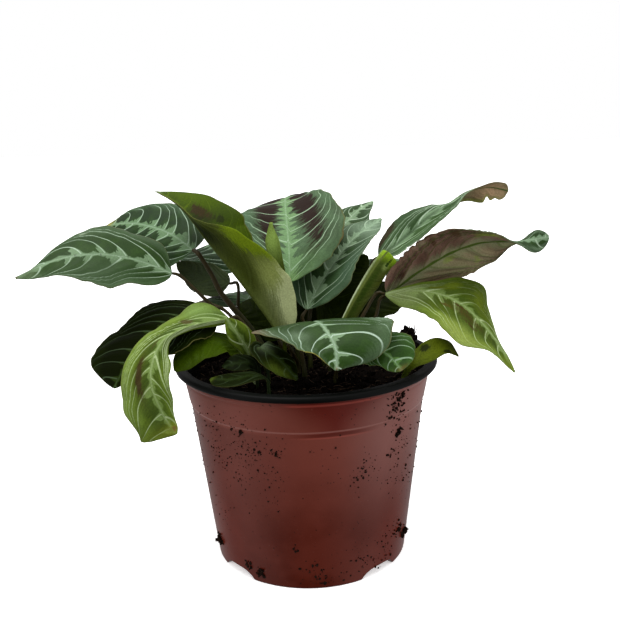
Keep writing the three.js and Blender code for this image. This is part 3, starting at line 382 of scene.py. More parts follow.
# Clusters of dirt on the pot: turn from the front in degrees, height, spread, count and largest crumb
DIRT = [
    (-30, 76, 8, 90, 0.4), (-25, 72, 4, 40, 0.5), (-14, 71, 1.5, 30, 0.7), (-34, 62, 8, 70, 0.35),
    (-20, 60, 5, 30, 0.4), (-22, 48, 9, 40, 0.35), (-50, 66, 8, 60, 0.4), (-48, 80, 5, 30, 0.4),
    (-36, 80.5, 0.6, 5, 0.9), (-31, 79.5, 0.6, 4, 0.8), (-52, 36, 8, 30, 0.35), (0, 70, 12, 20, 0.35),
    (27, 60, 4, 44, 0.45), (22, 55, 4, 20, 0.4), (42, 90, 3, 60, 0.8), (44, 83, 4, 60, 0.6),
    (46, 74, 1.6, 14, 1.2), (43, 64, 2, 14, 0.7), (50, 66, 7, 50, 0.4), (54, 46, 7, 40, 0.45),
    (50, 22, 6, 40, 0.5), (58, 18, 2, 16, 1.1), (66, 13, 2, 18, 1.5), (-66, 12, 2, 16, 1.3),
    (-30, 6, 1.6, 24, 1.2), (-38, 8, 1.6, 12, 0.9), (-8, 22, 1.5, 10, 0.7), (2, 7, 5, 40, 0.6),
    (14, 12, 9, 40, 0.4), (30, 12, 4, 26, 0.5), (44, 10, 5, 40, 0.5), (0, 40, 30, 60, 0.25),
    (-80, 60, 14, 60, 0.45), (85, 60, 14, 60, 0.45), (130, 50, 18, 80, 0.5), (180, 60, 20, 80, 0.5),
    (-130, 50, 18, 80, 0.5),
]


def srgb(code):
    """Linear colour of a six-digit sRGB code"""
    parts = [int(code[i : i + 2], 16) / 255 for i in (0, 2, 4)]
    return tuple(c / 12.92 if c <= 0.04045 else ((c + 0.055) / 1.055) ** 2.4 for c in parts) + (1.0,)


def unit(v):
    return v / np.maximum(np.linalg.norm(v, axis=-1, keepdims=True), 1e-9)


def curve(points, t):
    """Smooth curve through points at the values t, with straight run-outs at both ends"""
    p = np.array(points, float)
    last = len(p) - 1
    ext = np.vstack([2 * p[0] - p[1], p, 2 * p[last] - p[last - 1]])
    x = np.minimum(np.maximum(t, 0) * last, last - 1e-9)
    i = np.floor(x).astype(int)
    u = (x - i)[:, None]
    a, b, c, d = (ext[i + k] for k in range(4))
    return (a * (-u + 2 * u**2 - u**3) + b * (2 - 5 * u**2 + 3 * u**3)
            + c * (u + 4 * u**2 - 3 * u**3) + d * (u**3 - u**2)) / 2


def even_points(points, count):
    """Points that split the curve into equal lengths, and its whole length"""
    fine = np.linspace(0, 1, 401)
    line = curve(points, fine)
    lengths = np.concatenate([[0], np.cumsum(np.linalg.norm(np.diff(line, axis=0), axis=1))])
    stops = np.interp(np.linspace(0, lengths[-1], count + 1), lengths, fine)
    return curve(points, stops), lengths[-1]


def between(values, t):
    """Straight steps between the values of a list"""
    return np.interp(t, np.linspace(0, 1, len(values)), values)


def tangents(points):
    ahead = np.vstack([points[1:], points[-1:]])
    behind = np.vstack([points[:1], points[:-1]])
    return unit(ahead - behind)


def full_turn(count):
    """Angles of points spread evenly around a circle"""
    return np.linspace(0, 2 * math.pi, count, endpoint=False)


class Ripples:
    """Smooth noise between about -1 and 1, from seeded waves in many directions"""

    def __init__(self, seed, count=7):
        draw = np.random.default_rng(seed)
        turn = draw.uniform(0, 2 * math.pi, count)
        pitch = draw.uniform(0.6, 1.7, count)
        start = draw.uniform(0, 2 * math.pi, count)
        self.waves = list(zip(np.cos(turn) * pitch, np.sin(turn) * pitch, start))

    def __call__(self, x, y):
        waves = [np.sin(x * kx + y * ky + start) for kx, ky, start in self.waves]
        return math.sqrt(2 / len(waves)) * sum(waves)


def hill(x, y, middle, spread):
    """Rise of a round hill, 1 at its middle"""
    return np.exp(-(((x - middle[0]) / spread[0]) ** 2 + ((y - middle[1]) / spread[1]) ** 2))


def to_frame(points):
    """Millimetres from the pot's axis to metres in the row frame"""
    return np.asarray(points, float) * MM + AXIS


def new_object(name, data):
    made = bpy.data.objects.new(name, data)
    bpy.context.scene.collection.objects.link(made)
    return made


def mesh_object(name, points, faces, materials, face_materials=None, smooth=True):
    mesh = bpy.data.meshes.new(name)
    mesh.from_pydata(to_frame(points).tolist(), [], faces)
    for material in materials:
        mesh.materials.append(material)
    if face_materials is not None:
        mesh.polygons.foreach_set("material_index", np.asarray(face_materials, np.int32))
    mesh.polygons.foreach_set("use_smooth", np.full(len(mesh.polygons), smooth))
    mesh.validate()
    mesh.update()
    return new_object(name, mesh)


def quads(index, reverse=False):
    """Faces between neighbouring rings of points, given as rows of point numbers"""
    after = np.roll(index, -1, axis=1)
    corners = [index[:-1], after[:-1], after[1:], index[1:]]
    if reverse:
        corners = [corners[0], corners[3], corners[2], corners[1]]
    return np.stack(corners, axis=-1).reshape(-1, 4).tolist()


def joined(parts):
    """Points and faces of many small bodies, as those of one mesh"""
    faces, start = [], 0
    for points, part_faces in parts:
        faces += [[v + start for v in face] for face in part_faces]
        start += len(points)
    return np.concatenate([points for points, _ in parts]), faces


def give(made, name, values):
    """Stores a vector or a colour for each point of a mesh"""
    kind, field = ("FLOAT_VECTOR", "vector") if values.shape[-1] == 3 else ("FLOAT_COLOR", "color")
    attribute = made.data.attributes.new(name, kind, "POINT")
    attribute.data.foreach_set(field, np.asarray(values, np.float32).ravel())


def settle(piece, slot, *nodes):
    """Every piece rides on the one body; nodes are the CAD nodes it stands for"""
    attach(piece, "root")
    if nodes:
        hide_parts(*nodes)


class Value:
    """An output in a node tree. The signs between values add math nodes to it."""

    def __init__(self, nodes, socket):
        self.nodes, self.socket = nodes, socket

    def __add__(self, other):
        return self.nodes.math("ADD", self, other)

    def __sub__(self, other):
        return self.nodes.math("SUBTRACT", self, other)

    def __rsub__(self, other):
        return self.nodes.math("SUBTRACT", other, self)

    def __mul__(self, other):
        return self.nodes.math("MULTIPLY", self, other)

    def __abs__(self):
        return self.nodes.math("ABSOLUTE", self)

    def line(self, factor, start):
        """The value times a factor, plus a start"""
        return self.nodes.math("MULTIPLY_ADD", self, factor, start)

    def step(self, low, high, to_low=0.0, to_high=1.0):
        """Smooth step from low to high, which may fall"""
        inputs = dict(enumerate((self, low, high, to_low, to_high)))
        return self.nodes.add("ShaderNodeMapRange", inputs, interpolation_type="SMOOTHSTEP")


class Nodes:
    """Short calls that build the node tree of a material or of the world"""

    def __init__(self, owner):
        owner.use_nodes = True
        self.owner, self.tree = owner, owner.node_tree

    def join(self, value, socket):
        """Links a value to an input, or sets a number, a colour or a colour's code there"""
        if isinstance(value, Value):
            self.tree.links.new(value.socket, socket)
        else:
            socket.default_value = srgb(value) if isinstance(value, str) else value

    def add(self, kind, inputs, output=0, **settings):
        """Adds a node with its settings, fills its inputs and gives one of its outputs"""
        node = self.tree.nodes.new(kind)
        for key, value in settings.items():
            setattr(node, key, value)
        for key, value in inputs.items():
            self.join(value, node.inputs[key])
        return Value(self, node.outputs[output])

    def math(self, operation, *values):
        return self.add("ShaderNodeMath", dict(enumerate(values)), operation=operation)

    def mix(self, factor, a, b, blend="MIX"):
        inputs = dict(Factor=factor, A=a, B=b)
        return self.add("ShaderNodeMix", inputs, "Result", data_type="RGBA", blend_type=blend)

    def paint(self, amount, colour):
        """Lays a colour over the surface's own one"""
        self.colour = self.mix(amount, self.colour, colour)

    def shade(self, tone):
        """Multiplies the surface's colour by a grey tone"""
        self.colour = self.mix(1.0, self.colour, self.vector(tone, tone, tone), "MULTIPLY")

    def attribute(self, name, output="Vector"):
        return self.add("ShaderNodeAttribute", {}, output, attribute_name=name)

    def split(self, vector):
        node = self.tree.nodes.new("ShaderNodeSeparateXYZ")
        self.join(vector, node.inputs[0])
        return [Value(self, socket) for socket in node.outputs]

    def vector(self, *values):
        return self.add("ShaderNodeCombineXYZ", dict(enumerate(values)))

    def place(self, output="Object"):
        return self.add("ShaderNodeTexCoord", {}, output)

    def noise(self, scale, detail=2.0, roughness=0.5, vector=None):
        inputs = dict(Vector=vector or self.place(), Scale=scale, Detail=detail, Roughness=roughness)
        return self.add("ShaderNodeTexNoise", inputs, "Fac")

    def spots(self, scale):
        return self.add("ShaderNodeTexVoronoi", dict(Vector=self.place(), Scale=scale), "Distance")

    def bump(self, height, distance, strength):
        return self.add("ShaderNodeBump", dict(Height=height, Distance=distance, Strength=strength))

    def finish(self, roughness, shine, normal=None, **constants):
        """Links what varies over the surface and sets the rest on the shader itself"""
        sockets = self.tree.nodes["Principled BSDF"].inputs
        self.join(self.colour, sockets["Base Color"])
        self.join(roughness, sockets["Roughness"])
        if normal:
            self.join(normal, sockets["Normal"])
        sockets["Specular IOR Level"].default_value = shine
        for key, value in constants.items():
            sockets[key.replace("_", " ")].default_value = value
        return self.owner


def new_material(name):
    return Nodes(bpy.data.materials.new(name))


class BladeNodes(Nodes):
    """Nodes with a leaf's coordinates: off is the distance from the rib in mm, share its part of the
    half width, root the place along the rib where the side vein starts, and phase counts the side
    veins. A point lies ahead of the last vein and behind the next, and gap is the less of both, in mm."""

    def __init__(self, name):
        super().__init__(bpy.data.materials.new(name))
        across, self.root, self.share = self.split(self.attribute("blade_place"))
        self.phase, span, _ = self.split(self.attribute("blade_veins"))
        self.off = abs(across)
        self.ahead = self.math("FRACT", self.phase) * span
        self.behind = span - self.ahead
        self.gap = self.math("MINIMUM", self.ahead, self.behind)
        streaks = self.noise(1.0, 3.0, 0.6, self.vector(self.phase * 11.0, self.off * 0.16, 0.0))
        self.streaks = streaks.step(0.28, 0.72)
        self.jags = self.noise(1.0, vector=self.vector(self.phase * 7.0, self.off * 0.3, 5.0))

    def paint_marks_and_light(self):
        """Lays the soft washes and the ragged stains over the blade, both streaked along the veins; besides
        real marks they hold painted highlights, painted sheen and painted shade
        """
        wash_and_light = self.attribute("blade_wash_and_light", "Alpha") * self.streaks.line(0.5, 0.8)
        self.paint(wash_and_light, self.attribute("blade_wash_and_light", "Color"))
        edge = (self.noise(900.0, 3.0, 0.6) - 0.5) * 0.4 + (self.streaks - 0.5) * 0.4
        stain_and_light = (self.attribute("blade_stain_and_light", "Alpha") + edge).step(0.25, 0.6)
        self.paint(stain_and_light, self.attribute("blade_stain_and_light", "Color"))

    def skin(self, relief, contrast, roughness, shine):
        """Adds the fine cells and pores of the skin"""
        self.shade(self.noise(1300.0, 3.0, 0.7).step(0.25, 0.75, 1 - contrast, 1 + contrast))
        pores = self.noise(2600.0, 2.0, 0.6)
        height = self.streaks * 0.8 + pores * 0.5 + relief
        return self.finish(pores.line(0.16, roughness), shine, self.bump(height, 0.0001, 0.5))


def upper_material(name, look):
    """Upper side of a blade: blotches between arching side veins, and a pale feather along the rib"""
    n = BladeNodes(name + "_upper")
    n.colour = look["ground"]
    n.shade(n.streaks.line(0.45, 0.78))
    n.paint(n.noise(90.0).step(0.35, 0.75, 0.0, 0.35), look["blotch"])

    ragged = (n.streaks - 0.5) * 0.26
    reach = ragged + look["reach"]
    outward = n.share.step(reach + look["soft"], reach - look["soft"])
    begun = (n.root.line(0.75, n.share) + ragged).step(look["start"] - 0.07, look["start"] + 0.08)
    patch = look["blotch"]
    if look["clouded"]:
        fresh = n.mix(0.16, patch, "35560f")
        patch = n.mix(n.noise(130.0).step(0.42, 0.68), patch, fresh)
    n.paint(outward * begun * look["depth"], patch)

    teeth = abs(n.math("FRACT", n.phase * look["comb"]) - 0.5)
    long = teeth * 4.0 * n.jags * n.root.line(-1.1, 1.8)
    near = long.line(look["teeth"], 0.7)
    beside_rib = n.off.step(near + 0.45, near - 0.35)
    fin = n.math("MAXIMUM", n.share, n.off * 0.055).step(0.46, 0.0)
    ahead = fin * look["fin"] * n.jags.line(2.0, 0.1)
    behind = fin * 0.9
    ahead = n.ahead.step(ahead + 0.3, ahead - 0.1)
    behind = n.behind.step(behind + 0.3, behind - 0.1)
    on_fin = n.math("MAXIMUM", ahead, behind) * n.share.step(0.5, 0.25)
    n.paint(n.math("MAXIMUM", beside_rib, on_fin) * 0.92, look["feather"])

    width = n.share.step(1.0, 0.1).line(0.1, 0.05)
    line = n.gap.step(width + 0.18, width)
    n.paint(line * n.share.step(0.99, 0.75, 0.2, 0.9), look["vein"])
    n.paint(n.off.step(0.55, 0.25) * 0.3, look["vein"])
    n.paint(n.share.step(0.965, 0.995) * 0.5, "6d6a3c")
    if look["marked_above"]:
        n.paint_marks_and_light()
    return n.skin(line * -0.7, 0.18, 0.36, look["gloss"])


def under_material(name, look):
    """Lower side of a blade: paler veins, greener along the rib, with painted shade by the side veins and
    painted light on the bulges between them
    """
    n = BladeNodes(name + "_under")
    n.colour = look["under"]
    # Painted shade by the side veins and painted light on the bulges between them, over fine streaks
    n.shade(n.streaks.line(0.5, 0.75) * n.gap.step(0.2, 3.0, 0.72, 1.12))
    near = n.jags * 7.0
    n.paint(n.off.step(near + 2.0, near - 1.5, 0.0, 0.8), look["under_rib"])
    n.paint(n.noise(160.0, 3.0).step(0.45, 0.8, 0.0, 0.5), look["under_rib"])
    line = n.gap.step(0.5, 0.15)
    n.paint(line * 0.6, look["under_vein"])
    n.paint_marks_and_light()
    n.paint(n.off.step(look["rib"] + 0.2, look["rib"] - 0.2), look["under_vein"])
    return n.skin(line * 0.8, 0.2, 0.4, look["gloss"])


def blade_grid(leaf, rows, cols, seed):
    """Middle surface of a blade, with the place along, the share and the half width at its points"""
    spine, length = even_points(leaf["rib"], rows)
    t = np.linspace(0, 1, rows + 1)
    along = tangents(spine)
    up = np.stack([between(way, t) for way in np.array(leaf["face"], float).T], axis=1)
    up = unit(up - along * np.sum(up * along, axis=1, keepdims=True))
    side = np.cross(along, up)
    base, end = leaf["ends"]
    tip = np.maximum((t - 1 + end) / end, 0)
    rounding = np.sqrt(1 - np.maximum(1 - t / base, 0) ** 2) * np.sqrt(np.maximum(1 - tip**2, 0))
    grid = np.zeros((rows + 1, 2 * cols + 1, 3))
    half = np.zeros((rows + 1, 2 * cols + 1))
    grid[:, cols] = spine
    rough, fine = Ripples(seed), Ripples(seed + 1)
    wave_height, wave_count, wave_start = leaf["wave"]
    for k, widths in enumerate((leaf["left"], leaf["right"] or leaf["left"])):
        sign = 2 * k - 1
        wide = curve([[w, 0, 0] for w in widths], t)[:, 0] * rounding
        wide = wide * (1 + 0.012 * fine(t * 60, np.full_like(t, 9.0 * k)))
        for nick_side, place, size, depth in leaf["nicks"]:
            if nick_side == k:
                wide = wide * (1 - depth * np.exp(-(((t - place) / size) ** 2)))
        wide = np.maximum(wide, LEAST_HALF)
        start = np.radians(between(leaf["fold"][k], t))
        bend = np.radians(between(leaf["curl"][k], t))
        swing = np.sin(2 * math.pi * wave_count * t + wave_start + (0 if k else 1.9))
        calm = np.minimum(wide / 12, 1)
        at = spine.copy()
        for j in range(1, cols + 1):
            s = j / cols
            angle = (start + bend * (j - 0.5) / cols)[:, None]
            out = np.cos(angle) * wide[:, None] / cols
            rise = np.sin(angle) * wide[:, None] / cols
            at = at + side * (sign * out) + up * rise
            big = wave_height * s**2 * calm * swing
            small = rough(t * length / 4, np.full_like(t, s * wide.max() / 6 + 20 * k))
            small = 0.35 * s**3 * calm * small
            grid[:, cols + sign * j] = at + up * (big + small)[:, None]
            half[:, cols + sign * j] = wide
    half[:, cols] = (half[:, cols - 1] + half[:, cols + 1]) / 2
    return grid, t, np.abs(np.linspace(-1, 1, 2 * cols + 1)), half, length


def vein_values(leaf, t, share, half, length):
    """Number of the side vein at each point, the millimetres from one vein to the next, and its root"""
    lean, count = leaf["lean"], leaf["veins"]
    bow = 0.3 * share + 0.7 * share**2.4
    slope = 0.3 + 0.7 * 2.4 * share**1.4
    left_over = 1 - lean * bow
    root = (t[:, None] - lean * bow) / left_over
    sides = np.sign(np.linspace(-1, 1, len(share)))
    before = np.tanh(np.minimum(root, 0) * count)
    phase = np.maximum(root, 0) * count + before + np.where(sides > 0, 0.35, 0.0)
    phase = phase + 0.18 * np.sin(np.maximum(root, 0) * count * 2.1 + sides)
    by_length = 1 / (length * left_over)
    by_width = lean * slope * (1 - root) / left_over / np.maximum(half, 1)
    span = 1 / (count * (1 - before**2 + 0.02) * np.sqrt(by_length**2 + by_width**2))
    return phase, span, root


def patch_values(patches, t, share):
    """Colour and strength of the blade's patches at each point"""
    signed = np.linspace(-1, 1, len(share))
    total = np.full((len(t), len(signed), 1), 1e-6)
    mixed = total * np.array(srgb("6b5a2a")[:3])
    clear = np.ones((len(t), len(signed), 1))
    for along, across, *size, code, strength in patches:
        amount = (hill(t[:, None], signed, (along, across), size) * strength)[..., None]
        total = total + amount**2
        mixed = mixed + amount**2 * np.array(srgb(code)[:3])
        clear = clear * (1 - amount)
    return np.concatenate([mixed / total, 1 - clear], axis=-1)


def blade(name, leaf, size, materials, slot, seed):
    """A thin closed blade with pleats between its side veins and a raised rib below"""
    grid, t, share, half, length = blade_grid(leaf, *size, seed)
    phase, span, root = vein_values(leaf, t, share, half, length)
    normal = unit(np.cross(np.gradient(grid, axis=1), np.gradient(grid, axis=0)))
    off = share * half
    bulge = np.minimum(off / 3, 1) * np.clip((1 - share) / 0.12, 0, 1)
    pleat = leaf["pleat"] * np.minimum(half / 12, 1) * bulge * np.cos(2 * math.pi * phase)
    grid = grid - normal * pleat[..., None]
    groove = RIB_RELIEF * np.exp(-((off / 0.8) ** 2)) * np.minimum(half / 6, 1)
    taper = 1 - 0.7 * t[:, None]
    thick = EDGE_THICKNESS + (BLADE_THICKNESS - EDGE_THICKNESS) * np.clip((1 - share) / 0.15, 0, 1)
    rib = 1.1 * taper * np.exp(-((off / 0.85) ** 2)) * np.minimum(half / 3, 1)
    top = grid + normal * (thick / 2 - groove * taper * 0.6)[..., None]
    low = grid - normal * (thick / 2 + rib)[..., None]
    points = np.concatenate([top.reshape(-1, 3), low.reshape(-1, 3)])

    index = np.arange(half.size).reshape(half.shape)
    a, b, c, d = index[:-1, :-1], index[:-1, 1:], index[1:, 1:], index[1:, :-1]
    upper = np.stack([a, b, c, d], axis=-1).reshape(-1, 4)
    under = np.stack([a, d, c, b], axis=-1).reshape(-1, 4) + half.size
    loop = np.concatenate([index[:, 0], index[-1, 1:], index[::-1, -1][1:], index[0, ::-1][1:-1]])
    after = np.roll(loop, -1)
    rim = np.stack([loop, after, after + half.size, loop + half.size], axis=-1)
    faces = np.concatenate([upper, under, rim]).tolist()
    which = np.repeat([0, 1, 0], [len(upper), len(under), len(rim)])
    made = mesh_object(name + "_blade", points, faces, materials, which)

    signed = off * np.sign(np.linspace(-1, 1, len(share)))
    values = dict(
        blade_place=np.stack([signed, root, np.broadcast_to(share, half.shape)], axis=-1),
        blade_veins=np.stack([phase, span, half], axis=-1),
        blade_stain_and_light=patch_values(leaf["stains_and_painted_light"], t, share),
        blade_wash_and_light=patch_values(leaf["washes_and_painted_light"], t, share),
    )
    for key, value in values.items():
        give(made, key, np.concatenate([value, value]))
    settle(made, slot, name)


def tube(points, radii, sides):
    """Points and faces of a closed round tube along a line of points"""
    aside = np.array([1.0, 0.0, 0.0])
    turn = full_turn(sides)[:, None]
    rings = []
    for p, d, r in zip(points, tangents(points), radii):
        aside = unit(aside - d * np.dot(aside, d))
        rings.append(p + aside * np.cos(turn) * r + np.cross(d, aside) * np.sin(turn) * r)
    index = np.arange(len(points) * sides).reshape(len(points), sides)
    return np.concatenate(rings), quads(index) + [index[0, ::-1].tolist(), index[-1].tolist()]


def stalk(name, leaf, material):
    """Leaf stalk: a sheath low down, slimmer above, and a short swelling under the blade"""
    rib = np.array(leaf["rib"], float)
    x, y = leaf["stalk"][0][:2]
    away = unit(rib[0] - rib[1])
    top = [rib[0] + away * STALK_LEAD, rib[0] + away * 0.2]
    line, length = even_points([[x, y, ROOT_BOTTOM], [x, y, SOIL_TOP], *leaf["stalk"], *top], STALK_STEPS)
    t = np.linspace(0, 1, len(line))
    radii = STALK_ROOT_RADIUS + (STALK_TOP_RADIUS - STALK_ROOT_RADIUS) * t
    radii = radii * 0.92 - 0.24 * t + 0.18 * np.exp(-(((1 - t) * length - 4) / 2.5) ** 2)
    points, faces = tube(line, radii * leaf["stalk_width"], STALK_SIDES)
    made = mesh_object(name + "_rod", points, faces, [material])
    give(made, "stalk_place", np.repeat(t, STALK_SIDES)[:, None] * [1, 0, 0])
    settle(made, "stalk", name)


def stalk_material():
    """Green low down and brown above, with dark grain along the stalk"""
    n = new_material("stalk_skin")
    x, y, z = n.split(n.place())
    grain = n.noise(1.0, 3.0, vector=n.vector(x * 1600.0, y * 1600.0, z * 160.0))
    up_stalk = n.split(n.attribute("stalk_place"))[0]
    n.colour = n.mix(up_stalk.step(0.25, 0.7), "2c3212", "2f270f")
    n.paint(grain.step(0.4, 0.75, 0.0, 0.7), "191808")
    return n.finish(grain.line(0.2, 0.35), 0.12, n.bump(grain, 0.0002, 0.5))


def wall_radius(z):
    """Outer radius of the pot's wall at a height"""
    heights = [0, BAND_HEIGHT, BAND_HEIGHT + STEP_HEIGHT, POT_HEIGHT - LIP_HEIGHT]
    return np.interp(z, heights, [BASE_RADIUS, BAND_RADIUS, BAND_RADIUS + BAND_STEP, NECK_RADIUS])


def turned(name, radii, heights, material, lift=None, closed=False):
    """Surface of revolution; lift(z, r, turn) gives its points new heights and radii, as at the arches"""
    turn = full_turn(AROUND)
    r = np.asarray(radii, float)[:, None] * np.ones(AROUND)
    z = np.asarray(heights, float)[:, None] * np.ones(AROUND)
    if lift:
        z, r = lift(z, r, turn)
    points = np.stack([r * np.cos(turn), r * np.sin(turn), z], axis=-1)
    index = np.arange(z.size).reshape(z.shape)
    if closed:
        index = np.vstack([index, index[:1]])
    return mesh_object(name, points.reshape(-1, 3), quads(index), [material])


def foot_lift(z, r, turn):
    """Cuts the wall's lower edge into four feet with low arches between them"""
    to_arch = np.abs((np.degrees(turn) + 90 - ARCH_TURN + 45) % 90 - 45)
    edge = ARCH_HEIGHT * (1 - np.clip(to_arch / ARCH_HALF_TURN, 0, 1) ** 3) ** 0.8
    low = np.clip(1 - z / FOOT_BLEND, 0, 1)
    outer = wall_radius(np.maximum(z, edge * low + z))
    return z + edge * low, r + np.where(z < FOOT_BLEND, outer - wall_radius(z), 0)


def pot_material():
    """Terracotta-coloured plastic: painted sheen at the sides with a painted dark reflection between them,
    painted highlights and painted shade at the band's lines, painted light at the lower sides, dust, spots
    and scratches
    """
    n = new_material("pot_skin")
    x, y, z = n.split(n.place())
    across = x - float(AXIS[0])
    beside = abs(n.math("ARCTAN2", across, float(AXIS[1]) - y) - math.radians(SHEEN_TURN))

    def ring(height, outer, inner):
        """Narrow line around the pot at a height in mm"""
        return abs(z - height * MM).step(outer, inner)

    n.colour = n.mix(z.step(0.0, 0.08), "420e01", "4c1c13")
    n.paint(n.noise(40.0, 3.0).step(0.35, 0.7, 0.0, 0.3), "70352b")
    # Painted light: the lower left and right of the wall are brightened to a warmer red, where little light
    # reaches
    painted_light_low_sides = abs(across).step(0.015, 0.046) * z.step(0.07, 0.015)
    n.paint(painted_light_low_sides * 0.4, "6c2010")

    # Painted reflection: a dark gap on the band, widening upwards and turned a little right of the front,
    # with painted sheen to its left and right; a weaker painted sheen on the wall below, stronger and
    # pinker grey on the right
    gap = z.step(BAND_HEIGHT * MM, POT_HEIGHT * MM).line(math.radians(14), math.radians(7))
    beside_dark_reflection = beside.step(gap - 0.22, gap + 0.2)
    on_band = z.step((BAND_HEIGHT - 2) * MM, BAND_HEIGHT * MM)
    painted_wall_sheen = across.step(-0.045, 0.045, 0.3, 0.5) * z.step(0.02, 0.08)
    painted_band_sheen = beside_dark_reflection * beside.step(0.3, 1.1, 0.42, 0.8)
    sheen = painted_band_sheen * on_band + painted_wall_sheen * (1.0 - on_band)
    # Painted dark reflection in the band's gap, then the painted sheen over band and wall
    n.paint((1.0 - beside_dark_reflection) * on_band, "54170f")
    n.paint(sheen, n.mix(across.step(0.01, 0.04), "7e443a", "90625c"))

    # Painted highlight along the step at the foot of the band, all round
    n.paint(ring(BAND_HEIGHT + 0.5, 0.0007, 0.0002) * 0.5, "96645c")
    # Painted highlight on the soft ridge under the lip, only in the dark gap
    fold = ring(POT_HEIGHT - 5.2, 0.0008, 0.0003) * beside.step(0.4, 0.3)
    n.paint(fold * 0.6, "8a3c32")
    # Painted shade: a dark strip just below the band's step, in the dark gap
    under = ring(BAND_HEIGHT - 1.2, 0.0012, 0.0006) * beside.step(0.42, 0.1, 0.0, 0.7)
    n.paint(under, "48120a")
    # A second painted highlight line below that, in the dark gap
    painted_low_highlight = ring(BAND_HEIGHT - 2.3, 0.0006, 0.0002) * beside.step(0.4, 0.1)
    n.paint(painted_low_highlight * 0.5, "8a4238")

    dust = n.noise(700.0, 4.0, 0.7)
    n.paint(dust.step(0.62, 0.78, 0.0, 0.25), "7d5a52")
    dirt = n.spots(420.0).step(0.16, 0.1) * n.noise(60.0).step(0.5, 0.62)
    n.paint(dirt * 0.9, "1c130f")
    scratches = n.noise(1.0, vector=n.vector(x * 500.0, y * 500.0, z * 2500.0))
    rough = scratches.line(0.12, 0.28) + dirt * 0.4
    return n.finish(rough, 0.09, n.bump(dust + dirt, 0.00005, 0.6))


def lip_material():
    n = new_material("lip_skin")
    dust = n.noise(1400.0, 4.0, 0.7)
    n.colour = n.mix(dust.step(0.6, 0.8, 0.0, 0.35), "060706", "201b17")
    return n.finish(dust.line(0.3, 0.3), 0.045, n.bump(dust, 0.00005, 0.5))


def soil_material(name, dark, light):
    n = new_material(name)
    grain = n.noise(1500.0, 5.0, 0.7)
    n.colour = n.mix(grain.step(0.4, 0.75), dark, light)
    n.paint(n.noise(260.0, 3.0).step(0.5, 0.8, 0.0, 0.6), "120c08")
    return n.finish(0.95, 0.03, n.bump(grain, 0.0006, 1.0))


def fibre_material():
    n = new_material("soil_fibre")
    n.colour = n.mix(n.noise(300.0).step(0.35, 0.7), "231811", "4a3826")
    return n.finish(0.85, 0.2)


def build_pot(skin):
    """Outer terracotta layer: feet and arches, wall, band, soft ridges under the lip, and the floor"""
    top = POT_HEIGHT - LIP_HEIGHT
    band_low = BAND_HEIGHT + STEP_HEIGHT
    foot = [0.0, 0.25, 1.0, 2.2, 3.6, 5.2, 7.0]
    wall = np.linspace(9, BAND_HEIGHT - 0.6, 30)
    step = np.linspace(BAND_HEIGHT - 0.3, band_low + 0.3, 7)
    band = np.linspace(band_low + 0.8, top, 26)
    outer_z = np.concatenate([foot, wall, step, band])
    outer_r = wall_radius(outer_z)
    outer_r = outer_r + 0.28 * np.exp(-(((outer_z - top + 1.9) / 0.55) ** 2))
    outer_r = outer_r - 0.25 * np.exp(-(((outer_z - top + 3.2) / 0.5) ** 2))
    outer_r[0] -= 0.35
    inner_z = np.array([top, band_low, BAND_HEIGHT, 8, FLOOR_HEIGHT, 3, 0.25, 0.0])
    inner_r = wall_radius(inner_z) - WALL
    inner_r[4:] = BASE_RADIUS - FOOT_WIDTH
    radii, heights = np.concatenate([outer_r, inner_r]), np.concatenate([outer_z, inner_z])
    settle(turned("pot_wall", radii, heights, skin, foot_lift, closed=True), "pot_outside", "pot")
    floor_r = [BASE_RADIUS - FOOT_WIDTH + 0.3, 30, 14, 4, 0.01]
    settle(turned("pot_floor", floor_r, [FLOOR_HEIGHT] * 5, skin), "pot_outside")


def build_lip(skin):
    """Black inner layer with its rolled rim"""
    under = POT_HEIGHT - LIP_HEIGHT
    neck = float(wall_radius(under))
    roll = LIP_HEIGHT / 2
    turn = np.radians(np.linspace(-90, 90, 13))
    out_r = RIM_RADIUS - roll + roll * np.cos(turn)
    out_z = POT_HEIGHT - roll + roll * np.sin(turn)
    corner = np.radians(np.linspace(90, 180, 7))
    mouth = neck - 2 * WALL - LAYER_GAP
    in_r = mouth + LIP_CORNER + LIP_CORNER * np.cos(corner)
    in_z = POT_HEIGHT - LIP_CORNER + LIP_CORNER * np.sin(corner)
    wall_z = np.array([96, 93, 90, 80])
    wall_r = wall_radius(wall_z) - 2 * WALL - LAYER_GAP
    back_z = np.array([80, 90, under - LAYER_GAP])
    back_r = wall_radius(back_z) - WALL - LAYER_GAP
    radii = np.concatenate([[neck + 0.05], out_r, in_r, wall_r, back_r])
    heights = np.concatenate([[under], out_z, in_z, wall_z, back_z])
    settle(turned("pot_lip", radii, heights, skin, closed=True), "pot_inside", "pot_inner")


soil_lumps, soil_grit = Ripples(31, 12), Ripples(32, 14)


def on_soil(x, y, rise=0):
    """Points above the soil, which has a low crown, the heap at the back right, lumps and grit"""
    r = np.hypot(x, y) / float(wall_radius(SOIL_EDGE))
    heap = HEAP_HEIGHT * hill(x, y, HEAP_PLACE, HEAP_SPREAD)
    z = SOIL_EDGE + SOIL_CROWN * (1 - r * r) + heap
    z = z + 0.7 * soil_lumps(x / 4, y / 4) + 0.35 * soil_grit(x * 1.1, y * 1.1)
    return np.stack([x, y, z + rise], axis=-1)


